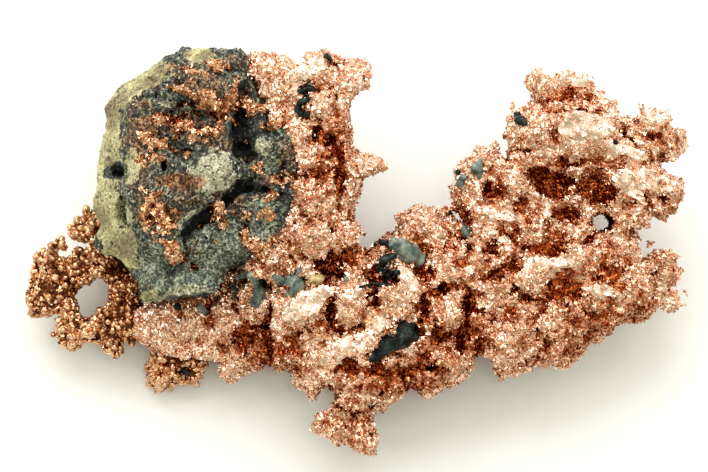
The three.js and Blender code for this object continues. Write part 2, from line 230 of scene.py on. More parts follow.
def blurred(field, reach):
    """A field averaged over a cube of this many steps each way, twice over: a running sum along each
    axis, less the same sum one cube earlier."""
    for axis in (0, 1, 2) * 2:
        edges = [(reach + 1, reach) if side == axis else (0, 0) for side in range(3)]
        sums = np.cumsum(np.pad(field, edges, mode="edge"), axis=axis, dtype=np.float64)
        count = field.shape[axis]
        ahead = np.take(sums, np.arange(2 * reach + 1, 2 * reach + 1 + count), axis=axis)
        behind = np.take(sums, np.arange(count), axis=axis)
        field = ((ahead - behind) / (2 * reach + 1)).astype(np.float32)
    return field


def read_field(field, grid, points):
    """A field's value at points in mm: the mean of the eight grid points round each, by nearness."""
    steps = np.clip(points / grid.spacing - grid.low, 0, np.array(grid.shape) - 1.001)
    base = np.floor(steps).astype(int)
    part = steps - base
    total = np.zeros(len(points))
    for corner in itertools.product((0, 1), repeat=3):
        weights = np.where(corner, part, 1 - part).prod(-1)
        total += weights * field[tuple((base + corner).T)]
    return total


def skin(field, grid):
    """The closed surface where a field is zero: points in mm, and triangles that face out."""
    level = openvdb.FloatGrid(BAND)
    level.copyFromArray(np.ascontiguousarray(field))
    points, triangles, quads = level.convertToPolygons(0.0)
    halves = np.concatenate([quads[:, [0, 1, 2]], quads[:, [0, 2, 3]], triangles]).astype(np.int64)
    return (points + grid.low) * grid.spacing, halves


def jittered(points, amount, seed):
    """Points each moved by up to this much any way, at random."""
    return points + np.random.default_rng(seed).uniform(-amount, amount, points.shape)


# ---- meshes ----


def mesh_object(name, points, faces, material, attributes=None, smooth=False):
    """A mesh object from points in mm and faces of equal length, with named values on its points."""
    mesh = bpy.data.meshes.new(name)
    count, sides = faces.shape
    mesh.vertices.add(len(points))
    mesh.vertices.foreach_set("co", (np.asarray(points, np.float32) * MM).ravel())
    mesh.loops.add(count * sides)
    mesh.loops.foreach_set("vertex_index", faces.ravel().astype(np.int32))
    mesh.polygons.add(count)
    mesh.polygons.foreach_set("loop_start", np.arange(0, count * sides, sides, dtype=np.int32))
    mesh.polygons.foreach_set("loop_total", np.full(count, sides, np.int32))
    mesh.polygons.foreach_set("use_smooth", np.full(count, smooth))
    mesh.update(calc_edges=True)
    for label, values in (attributes or {}).items():
        layer = mesh.attributes.new(label, "FLOAT", "POINT")
        layer.data.foreach_set("value", np.asarray(values, np.float32))
    mesh.materials.append(material)
    piece = bpy.data.objects.new(name, mesh)
    bpy.context.scene.collection.objects.link(piece)
    return piece


def stand_for(piece, node):
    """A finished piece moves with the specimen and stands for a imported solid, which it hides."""
    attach(piece, "root")
    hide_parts(node)


# ---- materials ----


def linear(code):
    """An sRGB hex colour as linear red, green, blue and alpha."""
    parts = [int(code[i:i + 2], 16) / 255 for i in (1, 3, 5)]
    return [p / 12.92 if p <= 0.04045 else ((p + 0.055) / 1.055) ** 2.4 for p in parts] + [1.0]


def new_material(name):
    """An empty node material: its tree, its shader and its object coordinates."""
    material = bpy.data.materials.new(name)
    material.use_nodes = True
    tree = material.node_tree
    tree.nodes.clear()
    out = tree.nodes.new("ShaderNodeOutputMaterial")
    shader = tree.nodes.new("ShaderNodeBsdfPrincipled")
    tree.links.new(shader.outputs["BSDF"], out.inputs["Surface"])
    place = tree.nodes.new("ShaderNodeTexCoord").outputs["Object"]
    return material, tree, shader, place


def add(tree, kind, inputs=None, stops=(), **settings):
    """Adds a node: its settings, a value or another node's output for each input, and the stops of a
    colour ramp as places and hex colours."""
    node = tree.nodes.new("ShaderNode" + kind)
    for key, value in settings.items():
        setattr(node, key, value)
    for key, value in (inputs or {}).items():
        if isinstance(value, bpy.types.NodeSocket):
            tree.links.new(value, node.inputs[key])
        else:
            node.inputs[key].default_value = value
    if stops:
        elements = node.color_ramp.elements
        while len(elements) < len(stops):
            elements.new(0.5)
        for element, (at, code) in zip(elements, stops):
            element.position = at
            element.color = linear(code)
    return node


def per_metre(size_mm):
    """A pattern's scale for a real size: how many of that size fit in a metre."""
    return 1.0 / (size_mm * MM)


FILM_SPECK = 0.9                         # mm, the finer mottling of the copper's film
FILM_MOTTLE = 0.7                        # how much the mottling weighs beside the shelter of a spot
PLATE_FILM = -0.06                       # how much less film a smooth plate has
PLATE_GLITTER = 0.65                     # the share of the glitter that it keeps
FACET = 0.18                             # mm, the facets that glitter
HALF = (0.5, 0.5, 0.5)                   # the middle of a pattern's colours


def crystal_copper(name, clean, worn, deep, glitter, roughness, blotches):
    """Native copper, grown as hackly crystals. Each facet throws light its own way, so beside a bright
    glint lies a dark one; faces in the open are clean salmon pink, hollows are painted red-brown, partly
    a real film and partly painted shade, and the smooth plates have a satin sheen with little glitter."""
    material, tree, shader, place = new_material(name)
    calm = add(tree, "Attribute", attribute_name="calm").outputs["Fac"]
    shelter = add(tree, "Attribute", attribute_name="shelter").outputs["Fac"]
    blotch = add(tree, "TexNoise", {"Vector": place, "Scale": per_metre(blotches), "Detail": 4.0})
    speck = add(tree, "TexNoise", {"Vector": place, "Scale": per_metre(FILM_SPECK), "Detail": 3.0})
    stain = add(tree, "Math", {0: blotch.outputs["Fac"], 1: speck.outputs["Fac"]}, operation="ADD")
    # Sheltered spots are painted red-brown: partly a real tarnish film, partly painted shade.
    covered = add(tree, "Math", {0: calm, 1: PLATE_FILM, 2: shelter}, operation="MULTIPLY_ADD")
    film_and_shade = add(tree, "Math", {0: stain.outputs[0], 1: FILM_MOTTLE, 2: covered.outputs[0]},
               operation="MULTIPLY_ADD")
    tone = add(tree, "ValToRGB", {"Fac": film_and_shade.outputs[0]}, [(0.66, clean), (0.9, worn), (1.0, deep)])
    crystal = add(tree, "TexVoronoi", {"Vector": place, "Scale": per_metre(FACET), "Randomness": 1.0})
    strength = add(tree, "MapRange", {"Value": calm, "To Min": glitter, "To Max": glitter * PLATE_GLITTER})
    tilt = add(tree, "VectorMath", {0: crystal.outputs["Color"], 1: HALF}, operation="SUBTRACT")
    push = add(tree, "VectorMath", {0: tilt.outputs[0], "Scale": strength.outputs[0]}, operation="SCALE")
    facing = add(tree, "NewGeometry").outputs["Normal"]
    pushed = add(tree, "VectorMath", {0: facing, 1: push.outputs[0]}, operation="ADD")
    normal = add(tree, "VectorMath", {0: pushed.outputs[0]}, operation="NORMALIZE")
    polish = add(tree, "ValToRGB", {"Fac": crystal.outputs["Color"]}, list(zip((0.0, 1.0), roughness)))
    tree.links.new(tone.outputs["Color"], shader.inputs["Base Color"])
    tree.links.new(normal.outputs[0], shader.inputs["Normal"])
    tree.links.new(polish.outputs["Color"], shader.inputs["Roughness"])
    shader.inputs["Metallic"].default_value = 1.0
    return material


# The rock's coats, each with its colours along a grainy pattern; the last five lie over one another.
COATS = {
    "dark": [(0.3, "#0A0F0D"), (0.42, "#1A221D"), (0.5, "#3C463D"), (0.6, "#7B806C"), (0.72, "#BDBC9F")],
    "brown": [(0.3, "#120D0A"), (0.43, "#3C2A1E"), (0.54, "#805C40"), (0.7, "#C2A37C")],
    "slate": [(0.28, "#232B26"), (0.42, "#5C685B"), (0.54, "#8E957F"), (0.72, "#C2C4A8")],
    "crust": [(0.3, "#4C5046"), (0.42, "#969678"), (0.52, "#C2BD9D"), (0.66, "#DCD8BE")],
    "rust": [(0.3, "#2E2219"), (0.44, "#7E4B2E"), (0.56, "#B57A4E"), (0.7, "#CBAE88")],
    "rind": [(0.3, "#7C7352"), (0.42, "#B2A97B"), (0.52, "#CFC692"), (0.66, "#E4DEB0")],
    # black: painted shade in the rock's cracks and cavities
    "black": [(0.3, "#030504"), (0.48, "#0D1210"), (0.6, "#2C3530"), (0.72, "#5C655A")],
}
EVEN_COATS = ("crust", "rind")           # the coats with a softer, less grainy pattern


def lava_rock():
    """Altered basalt, broken by hand: dull and matt, a mosaic of grains a third of a millimetre wide with
    black and pale specks and small round pits, painted as dark spots of shade. It is green-black where
    fresh, brown in places, with khaki weathered rind, slate and pale grey-green crusts and a rusty stain;
    its cracks are painted black and its hollows darker, as painted shade. The rind is the smoothest,
    with fewer black specks."""
    material, tree, shader, place = new_material("altered_basalt_broken")
    shelter = add(tree, "Attribute", attribute_name="shelter").outputs["Fac"]
    wander = add(tree, "TexNoise", {"Vector": place, "Scale": per_metre(0.6), "Detail": 3.0})
    centred = add(tree, "VectorMath", {0: wander.outputs["Color"], 1: HALF}, operation="SUBTRACT")
    moved = add(tree, "VectorMath", {0: centred.outputs[0], 1: (0.3 * MM,) * 3, 2: place},
                operation="MULTIPLY_ADD").outputs[0]
    grain = add(tree, "TexVoronoi", {"Vector": moved, "Scale": per_metre(0.28)}).outputs["Color"]
    speck = add(tree, "TexVoronoi", {"Vector": moved, "Scale": per_metre(0.2)}).outputs["Color"]
    # Dark round spots painted as the shade of small pits.
    pit_shade = add(tree, "TexVoronoi", {"Vector": moved, "Scale": per_metre(1.3)}).outputs["Distance"]
    patch = add(tree, "TexNoise", {"Vector": place, "Scale": per_metre(2.4), "Detail": 7.0,
                                   "Roughness": 0.75}).outputs["Fac"]
    fine = add(tree, "TexNoise", {"Vector": place, "Scale": per_metre(0.3), "Detail": 2.0}).outputs["Fac"]
    tint = add(tree, "TexNoise", {"Vector": place, "Scale": per_metre(4.5), "Detail": 4.0}).outputs["Fac"]
    grainy = add(tree, "Mix", {0: 0.5, 6: grain, 7: patch}, data_type="RGBA").outputs[2]
    even = add(tree, "Mix", {0: 0.75, 6: grain, 7: patch}, data_type="RGBA").outputs[2]
    coats = {}
    for label, stops in COATS.items():
        pattern = even if label in EVEN_COATS else grainy
        coats[label] = add(tree, "ValToRGB", {"Fac": pattern}, stops).outputs["Color"]
    greyed = add(tree, "ValToRGB", {"Fac": tint}, [(0.4, "#B9AFA6"), (0.56, "#FFFFFF")])
    coats["rind"] = add(tree, "Mix", {0: 1.0, 6: coats["rind"], 7: greyed.outputs["Color"]},
                        data_type="RGBA", blend_type="MULTIPLY").outputs[2]
    brownish = add(tree, "ValToRGB", {"Fac": tint}, [(0.49, "#000000"), (0.6, "#FFFFFF")])
    colour = add(tree, "Mix", {0: brownish.outputs["Color"], 6: coats["dark"], 7: coats["brown"]},
                 data_type="RGBA").outputs[2]
    extent = {label: add(tree, "Attribute", attribute_name=label).outputs["Fac"]
              for label in ("slate", "crust", "rust", "rind", "black")}
    for label, covered in extent.items():
        amount = add(tree, "Math", {0: covered, 1: grainy}, operation="ADD")
        edge = add(tree, "ValToRGB", {"Fac": amount.outputs[0]}, [(0.86, "#000000"), (1.0, "#FFFFFF")])
        colour = add(tree, "Mix", {0: edge.outputs["Color"], 6: colour, 7: coats[label]},
                     data_type="RGBA").outputs[2]
    share = add(tree, "MapRange", {"Value": extent["rind"], "From Min": 0.2, "From Max": 0.6,
                                   "To Min": 0.85, "To Max": 0.4})
    # What lies over the coats: black specks, pale glints, fine speckle, dark spots of painted shade for
    # pits, and painted shade in hollows.
    marks = [
        (share.outputs[0], "MULTIPLY", speck, [(0.24, "#242422"), (0.32, "#FFFFFF"), (1.0, "#FFFFFF")]),
        (0.6, "ADD", speck, [(0.74, "#000000"), (0.84, "#737359")]),
        (0.6, "MULTIPLY", fine, [(0.3, "#5A5A5A"), (0.5, "#FFFFFF"), (0.72, "#FFFFFF")]),
        (0.8, "MULTIPLY", pit_shade, [(0.1, "#3A3730"), (0.2, "#FFFFFF")]),
        (1.0, "MULTIPLY", shelter, [(0.35, "#FFFFFF"), (0.85, "#4A4A4A")]),
    ]
    for amount, way, pattern, stops in marks:
        tone = add(tree, "ValToRGB", {"Fac": pattern}, stops)
        colour = add(tree, "Mix", {0: amount, 6: colour, 7: tone.outputs["Color"]}, data_type="RGBA",
                     blend_type=way).outputs[2]
    bump = add(tree, "Bump", {"Height": grainy, "Strength": 1.0, "Distance": 0.45 * MM})
    rough = add(tree, "ValToRGB", {"Fac": patch}, [(0.3, "#B8B8B8"), (0.7, "#F2F2F2")])
    tree.links.new(colour, shader.inputs["Base Color"])
    tree.links.new(bump.outputs["Normal"], shader.inputs["Normal"])
    tree.links.new(rough.outputs["Color"], shader.inputs["Roughness"])
    return material


def waxy_clot(name, low, middle, high, roughness, shine):
    """Chlorite and other soft green minerals, grown as rounded waxy drops: a low soft shine over a body
    colour that clouds from dark to pale."""
    material, tree, shader, place = new_material(name)
    cloud = add(tree, "TexNoise", {"Vector": place, "Scale": per_metre(1.1), "Detail": 5.0,
                                   "Roughness": 0.6}).outputs["Fac"]
    colour = add(tree, "ValToRGB", {"Fac": cloud}, [(0.36, low), (0.5, middle), (0.66, high)])
    fine = add(tree, "TexNoise", {"Vector": place, "Scale": per_metre(0.35), "Detail": 3.0}).outputs["Fac"]
    bump = add(tree, "Bump", {"Height": fine, "Strength": 0.35, "Distance": 0.15 * MM})
    rough = add(tree, "ValToRGB", {"Fac": fine}, list(zip((0.35, 0.65), roughness)))
    shader.inputs["Specular IOR Level"].default_value = shine
    tree.links.new(colour.outputs["Color"], shader.inputs["Base Color"])
    tree.links.new(bump.outputs["Normal"], shader.inputs["Normal"])
    tree.links.new(rough.outputs["Color"], shader.inputs["Roughness"])
    return material


COPPER = crystal_copper("native_copper_crystals", "#F2D0B8", "#CB916B", "#964822", 0.48,
                        ("#4A4A4A", "#828282"), 7)
BROWN_COPPER = crystal_copper("native_copper_tarnished", "#EBBE96", "#AD744C", "#5A2E18", 0.55,
                              ("#404040", "#7A7A7A"), 3)
CRUST_COPPER = crystal_copper("native_copper_on_rock", "#E2B48E", "#A66C47", "#5A3018", 0.55,
                              ("#404040", "#7A7A7A"), 4)
LAVA = lava_rock()
DARK_CLOT = waxy_clot("chlorite_waxy_dark", "#020404", "#080F0D", "#22342C", ("#505050", "#7A7A7A"), 0.2)
PALE_CLOT = waxy_clot("chlorite_waxy_grey", "#2C3832", "#637065", "#929B8B", ("#7A7A7A", "#A0A0A0"), 0.35)
YELLOW_GRAIN = waxy_clot("epidote_grain", "#7A6238", "#B39A62", "#DCCB98", ("#606060", "#8A8A8A"), 0.5)
FINISH = {"copper": COPPER, "copper_brown": BROWN_COPPER, "lava": LAVA, "dark_clot": DARK_CLOT,
          "pale_clot": PALE_CLOT, "yellow_grain": YELLOW_GRAIN}
SLOTS = {part["node"]: part["material_slot"] for part in frame["record"]["subparts"]}


# ---- copper: one field for all branches, so that the forks are seamless ----

SPACING = 0.31                           # mm between grid points, as fine as the smaller crystals
GRID = Grid(np.array(cad_box[0]) / MM, np.array(cad_box[1]) / MM, SPACING)
BRANCHES = [node for node in sorted(frame["nodes"]) if node.startswith("copper_")]
FILLET = 0.45                            # mm, how softly branches run together

# Smooth grown plates: middle across and up, how proud of the surface it is, half sizes, turn in the
# face, lean upwards, lean right; mm and degrees.
PLATES = [
    (26.4, 18.3, 0.0, 2.1, 1.0, 0.5, -14, -2, 0), (27.4, 12.8, 0.3, 3.2, 1.7, 0.6, 0, -2, 2),
    (32.2, 9.7, 0.4, 2.9, 0.95, 0.5, -8, 6, 0), (33.9, 7.4, 0.3, 2.4, 1.2, 0.5, -38, 24, 0),
    (33.2, 5.6, 0.3, 2.7, 0.8, 0.5, -42, 24, 0), (35.9, 14.1, 0.1, 1.8, 0.8, 0.4, -24, 8, 0),
    (23.3, 9.9, 0.4, 3.2, 1.1, 0.6, 24, 6, -4), (-5.6, -8.1, 0.3, 3.4, 1.5, 0.6, 35, 2, -8),
    (6.3, -4.8, 0.3, 1.8, 1.1, 0.5, -48, 12, 4), (-0.8, -6.8, 0.3, 1.5, 1.2, 0.5, 10, 2, 0),
    (17.5, 2.6, 0.0, 2.0, 0.9, 0.5, -14, -2, -6), (-1.2, -13.6, 0.1, 2.4, 1.1, 0.5, 24, 4, 0),
    (24.4, -3.2, 0.1, 2.6, 1.0, 0.5, 6, 4, 0), (30.2, -6.6, 0.1, 2.2, 0.9, 0.5, -18, 4, 8),
    (-5.4, 19.4, 0.1, 2.0, 1.0, 0.5, 12, 4, 0), (2.8, -9.8, 0.1, 2.0, 1.3, 0.5, 0, 2, 0),
]

# Thin twigs that stand out past the branches: tip across and up, root across and up, radius, mm.
TWIGS = [
    (-38.5, -6.6, -38.0, -3.0, 0.9), (-28.7, -14.9, -29.9, -12.4, 0.5),
    (-35.4, -13.1, -34.6, -10.6, 0.55), (-35.2, -0.4, -36.8, -2.6, 0.4), (39.6, -7.2, 38.2, -5.0, 0.55),
    (25.3, -15.3, 25.0, -14.0, 0.7), (29.2, -12.4, 28.2, -11.2, 0.7), (30.6, 15.0, 29.4, 14.0, 0.35),
    (34.2, 15.2, 35.3, 13.8, 0.35), (19.2, 15.4, 20.6, 14.6, 0.6), (-32.5, 3.0, -31.8, 1.8, 0.35),
    (-39.2, -7.6, -38.4, -5.0, 0.7), (-4.9, -5.0, -6.6, -1.6, 1.2), (38.0, 9.2, 38.6, 11.0, 0.4),
    (21.6, 20.2, 21.9, 18.6, 0.5),
]

# Where the copper is browner, from film and painted shade, and where cleaner: across, up, half sizes, turn
# in degrees.
BROWN_PATCHES = [
    (37.0, -5.0, 4.4, 4.6, 0), (-0.5, -22.0, 3.6, 4.0, 0), (37.0, 11.6, 3.6, 2.0, -30),
    (6.5, -17.0, 8.0, 3.0, 10), (21.8, 8.6, 4.6, 1.4, 6), (27.0, -12.4, 8.0, 3.4, 24),
    (9.6, -9.0, 1.8, 4.6, 0), (-9.0, -14.0, 4.0, 2.4, 0), (-2.6, 9.0, 2.2, 7.0, 0),
    (-9.5, 18.5, 2.6, 1.6, 0), (-35.0, -6.2, 3.6, 1.3, 0), (-28.2, -4.0, 2.4, 2.2, 0),
    (-27.0, -9.6, 1.8, 3.2, 0), (-7.0, -15.6, 3.0, 1.4, -20), (14.4, -11.4, 2.0, 3.0, 0),
    (38.4, 4.2, 1.8, 2.4, 0), (17.4, -5.0, 2.0, 4.0, 0), (24.0, -6.4, 4.0, 1.2, 0),
    (15.4, -14.0, 3.0, 2.4, 0), (-1.4, -3.2, 2.4, 3.0, 0), (34.0, -8.4, 6.0, 3.4, 0),
]
CLEAN_PATCHES = [
    (25.6, 18.6, 6.0, 3.0, 0), (26.5, 12.6, 6.5, 3.4, 0), (33.4, 7.8, 4.4, 4.0, -30),
    (-5.0, -8.6, 5.4, 3.4, 30), (2.6, -8.4, 4.6, 3.4, 0), (5.4, -4.6, 3.4, 2.6, -40),
    (-20.0, -11.0, 6.0, 2.2, -8), (-5.8, 14.6, 3.0, 2.4, 0), (14.8, 1.2, 4.0, 3.0, 0),
    (-1.0, -13.0, 5.0, 2.4, 20), (-5.6, 20.0, 3.4, 2.0, 0), (35.4, 14.2, 2.4, 1.4, -24),
]

# Hollows and through holes: across, up, out, and half sizes the same ways, mm. A through hole is long.
THROUGH = 40.0
HOLLOWS = [
    # the right-hand mass: the great recess under its upper plate, then smaller ones round it
    (23.8, 6.4, 6.0, 3.6, 2.2, 5.0), (28.4, 5.6, 5.8, 3.0, 2.6, 4.6), (25.4, 2.6, 6.4, 3.2, 1.7, 4.4),
    (21.2, 7.6, 7.0, 1.8, 0.8, 3.0), (17.2, 4.9, 6.4, 1.7, 0.8, 3.0), (15.6, 5.8, 6.0, 0.7, 1.2, 2.4),
    (18.8, -4.8, 5.6, 0.9, 2.8, 3.0), (16.3, -1.6, 5.8, 1.8, 1.5, 2.8), (25.4, -5.6, 5.6, 2.8, 0.9, 2.6),
    (27.1, 14.8, 5.4, 1.4, 0.45, 3.0), (29.2, 8.9, 6.4, 0.5, 0.9, 2.4), (19.2, 0.8, 5.0, 0.8, 0.9, 2.6),
    (21.8, -11.4, 4.6, 0.4, 0.8, 2.4), (22.8, -12.6, 4.4, 0.7, 0.4, 2.4),
    (20.6, -15.2, 2.6, 2.0, 0.5, 2.0), (25.0, 17.1, 4.4, 2.0, 0.35, 1.6),
    (32.2, 12.3, 4.6, 0.7, 0.9, 2.2), (16.4, 8.8, 5.6, 0.35, 1.6, 2.0),
    (29.6, 1.6, 0.0, 1.5, 1.3, THROUGH), (23.6, 19.8, 0.0, 0.55, 1.0, THROUGH),
    (29.3, 19.2, 0.0, 1.0, 0.8, THROUGH), (18.2, 10.4, 0.0, 0.7, 1.8, THROUGH),
    (35.6, 12.0, 4.6, 1.5, 0.6, 2.2), (37.6, 12.8, 4.0, 0.8, 0.9, 1.8), (34.0, 12.9, 4.6, 0.6, 0.6, 1.8),
    (20.0, 5.2, 6.2, 1.0, 0.5, 2.4), (22.0, 3.4, 6.2, 1.0, 0.6, 2.6), (27.6, -0.4, 5.6, 1.2, 0.5, 2.2),
    (21.0, -7.6, 5.4, 1.3, 0.5, 2.4), (28.0, -9.0, 4.6, 1.2, 0.4, 2.0),
    # its tail and wing
    (33.2, -6.4, 1.2, 2.4, 1.1, 1.9), (35.7, -4.5, 0.0, 0.45, 0.45, THROUGH),
    (38.1, -6.2, 0.0, 0.55, 0.45, THROUGH), (37.4, 8.4, 0.0, 0.9, 0.8, THROUGH),
    (36.8, 4.4, 3.6, 1.0, 0.9, 2.0), (34.8, -1.6, 0.0, 0.9, 1.3, THROUGH),
    (35.9, 1.9, 0.0, 0.8, 0.6, THROUGH), (40.8, 12.2, 0.0, 1.0, 3.0, THROUGH),
    # the middle mass
    (-2.6, -8.8, 6.8, 0.7, 2.1, 3.0), (1.6, -7.4, 6.8, 0.7, 0.95, 3.0), (9.0, -4.4, 6.2, 0.8, 1.0, 3.0),
    (10.5, -6.1, 5.8, 0.7, 0.9, 2.6), (8.2, -8.5, 6.6, 0.6, 1.8, 3.0), (9.7, -11.0, 6.0, 0.35, 1.6, 2.6),
    (12.9, -12.6, 4.8, 0.9, 1.7, 2.8), (-5.7, -10.0, 6.8, 0.2, 1.0, 2.0),
    (-1.6, -4.6, 6.6, 0.9, 0.7, 2.6), (5.6, -14.0, 6.0, 1.2, 0.45, 2.2), (9.2, -15.6, 4.2, 1.0, 0.8, 2.0),
    (3.1, -15.6, 5.4, 0.35, 0.8, 2.0), (6.0, -16.7, 4.4, 0.6, 0.5, 2.0), (13.3, -8.6, 5.6, 0.5, 2.6, 2.6),
    (3.0, -18.9, 0.0, 0.35, 0.5, THROUGH), (1.8, -23.7, 2.4, 0.6, 0.5, 1.4),
    (15.5, -17.0, 0.0, 1.4, 1.7, THROUGH), (6.9, -20.0, 0.0, 2.2, 0.8, THROUGH),
    (-3.4, -19.8, 0.0, 0.9, 1.1, THROUGH), (-5.6, -22.4, 0.0, 0.7, 1.6, THROUGH),
    (1.0, -0.6, 0.0, 0.9, 1.1, THROUGH), (4.9, 1.2, 0.0, 0.6, 0.9, THROUGH),
    # between the middle mass and the column
    (-2.6, -1.9, 6.8, 0.5, 0.5, 3.4), (-1.4, -1.6, 6.6, 0.45, 0.5, 3.0), (-2.5, 0.6, 6.8, 1.0, 1.1, 3.6),
    (-2.5, -2.8, 6.4, 0.4, 0.4, 2.4), (-2.6, -4.0, 6.6, 0.9, 1.4, 2.2),
    # where the rock laps over the column
    (-10.6, 5.0, 9.2, 3.0, 4.6, 2.6), (-9.8, 9.8, 9.2, 2.4, 3.4, 2.2),
    # the column
    (-10.3, 18.7, 7.8, 1.1, 0.8, 2.2), (-2.8, 16.5, 7.6, 0.8, 0.9, 2.4), (-2.6, 11.3, 7.0, 0.7, 1.2, 2.6),
    (-4.4, 13.7, 7.8, 0.9, 0.8, 2.4), (-2.0, 6.4, 6.8, 0.8, 1.9, 1.8),
    (-4.7, 12.2, 0.0, 0.4, 0.85, THROUGH), (1.0, 18.8, 0.0, 0.35, 0.35, THROUGH),
    (-6.5, 21.5, 0.0, 0.8, 1.5, THROUGH), (-10.3, 22.4, 0.0, 1.6, 1.0, THROUGH),
    (-4.8, 22.9, 0.0, 2.0, 1.1, THROUGH), (0.8, 14.5, 0.0, 1.6, 3.1, THROUGH),
    (2.4, 10.2, 0.0, 1.4, 0.8, THROUGH), (1.9, 6.2, 0.0, 1.0, 1.2, THROUGH),
    # the ledge and the loop
    (-13.9, -12.9, 2.2, 2.0, 2.4, 4.6), (-12.3, -12.6, 2.2, 1.8, 1.2, 3.6),
    (-10.7, -13.0, 2.2, 1.7, 1.2, 3.0), (-13.9, -7.3, 2.8, 0.7, 0.9, 2.6),
    (-16.8, -10.4, 2.4, 0.9, 0.4, 2.0), (-22.6, -10.9, 1.8, 1.3, 0.4, 1.8),
    (-20.9, -16.3, -3.8, 0.8, 0.6, 1.4), (-32.0, -7.3, 0.0, 2.0, 1.9, THROUGH),
    (-30.8, -7.0, 0.0, 1.3, 2.1, THROUGH), (-32.2, -9.0, 0.0, 1.3, 1.2, THROUGH),
    (-33.2, -1.1, 0.0, 1.9, 0.75, THROUGH), (-35.2, -2.1, 0.0, 1.5, 1.0, THROUGH),
    (-38.0, -10.9, 0.0, 1.8, 1.5, THROUGH), (-32.0, -13.3, 0.0, 1.4, 0.7, THROUGH),
    (-26.0, -14.6, 0.0, 1.8, 1.6, THROUGH), (-34.0, 1.9, 0.0, 0.5, 0.7, THROUGH),
    (-34.4, -6.9, 1.0, 1.8, 0.5, 2.4), (-28.6, -3.4, 1.6, 1.6, 0.8, 2.4),
    (-26.4, -8.0, 1.6, 0.7, 1.6, 2.0),
]


def smoothly_joined(fields):
    """Several fields as one with its joins filled: minus the fillet times the logarithm of the sum of
    each field's falling exponential."""
    total = np.zeros(fields[0].shape, np.float32)
    for field in fields:
        total += np.exp(-field / FILLET)
    return np.clip(-FILLET * np.log(total + 1e-12), -BAND, BAND).astype(np.float32)


def plate_distance(places, plate):
    """How far places in the face are outside a rounded plate: its own axes are turned in the face, then
    leant up and right; the distance is the greater of that to its oval rim and that to its two sides."""
    across, up, out, half_width, half_height, half_depth, turn, lean_up, lean_right = plate
    turned_in = Matrix.Rotation(math.radians(turn), 3, "Z")
    leant_up = Matrix.Rotation(-math.radians(lean_up), 3, "X")
    leant_right = Matrix.Rotation(math.radians(lean_right), 3, "Y")
    own = (places - np.array([across, up, out])) @ np.array((leant_up @ leant_right) @ turned_in)
    oval = np.sqrt((own[:, 0] / half_width) ** 2 + (own[:, 1] / half_height) ** 2)
    return np.maximum((oval - 1) * half_height, np.abs(own[:, 2]) - half_depth)


def uneven(points):
    """Points moved about by up to a millimetre, so that what is worked out from them has a torn outline."""
    coarse, fine = ripple(points, 2.0, 51)[:, None], ripple(points, 0.9, 52)[:, None]
    return in_face(points + 0.7 * coarse + 0.35 * fine)


NEAREST, FARTHEST, STEP = 13.0, -12.0, 0.1   # mm out of the face: where looking starts, ends, and how fine


def surface_height(field, grid, across, up):
    """How far out of the face a surface is at one place: the first point below zero, looking inwards."""
    out = np.arange(NEAREST, FARTHEST, -STEP)
    places = np.column_stack([np.full(len(out), across), np.full(len(out), up), out])
    inside = read_field(field, grid, from_face(places)) < 0
    return float(out[inside.argmax()]) if inside.any() else FARTHEST


def placed_plates(field):
    """The plates with their height above the surface turned into a place out of the face."""
    heights = [surface_height(field, GRID, *plate[:2]) for plate in PLATES]
    return [plate[:2] + (height + plate[2],) + plate[3:] for plate, height in zip(PLATES, heights)]


def with_plates(field, plates):
    """A field joined to all the smooth plates, each worked out in its own part of the grid only."""
    for plate in plates:
        middle = from_face(plate[:3])
        window, grid = GRID.crop(middle - max(plate[3:5]), middle + max(plate[3:5]))
        places = uneven(grid.places(np.ones(grid.shape, bool)))
        apart = plate_distance(places, plate).reshape(grid.shape).astype(np.float32)
        field[window] = np.minimum(field[window], apart)
    return field


def with_twigs(field):
    """A field joined to all the twigs, each a rounded rod just under the height of the surface at its
    root: the distance to its nearest point, less a radius that goes from 1.2 of its own at the root to 0.8
    at the tip."""
    for tip_across, tip_up, across, up, radius in TWIGS:
        out = surface_height(field, GRID, across, up) - 1.1 * radius
        root, tip = from_face([(across, up, out), (tip_across, tip_up, out)])
        window, grid = GRID.crop(np.minimum(root, tip), np.maximum(root, tip))
        places = grid.places(np.ones(grid.shape, bool))
        along = np.clip((places - root) @ (tip - root) / ((tip - root) @ (tip - root)), 0, 1)
        from_rod = np.linalg.norm(places - root - along[:, None] * (tip - root), axis=1)
        apart = from_rod - radius * (1.2 - 0.4 * along)
        field[window] = np.minimum(field[window], apart.reshape(grid.shape).astype(np.float32))
    return field


def cut_through(field):
    """A field with its through holes cut out: each is an oval in the face, and its depth in mm is one less
    the offset in half sizes, times the smaller half size."""
    for across, up, _, half_width, half_height, half_depth in HOLLOWS:
        if half_depth < THROUGH:
            continue
        wide, tall = half_width + 1, half_height + 1
        ends = from_face([(across + side * wide, up + rise * tall, out)
                          for side, rise, out in itertools.product((-1, 1), (-1, 1), (-14, 14))])
        window, grid = GRID.crop(ends.min(0) + MARGIN, ends.max(0) - MARGIN)
        places = in_face(grid.places(np.ones(grid.shape, bool)))
        offset = np.hypot((places[:, 0] - across) / half_width, (places[:, 1] - up) / half_height)
        depth = np.clip((1 - offset) * min(half_width, half_height), -BAND, BAND)
        field[window] = np.maximum(field[window], depth.reshape(grid.shape).astype(np.float32))
    return field


def calmness(points, plates):
    """1 on the smooth plates, and 0 more than a millimetre from them."""
    places = uneven(points)
    nearest = np.minimum.reduce([plate_distance(places, plate) for plate in plates])
    return 1 - smooth_step(nearest, 0.1, 0.8)


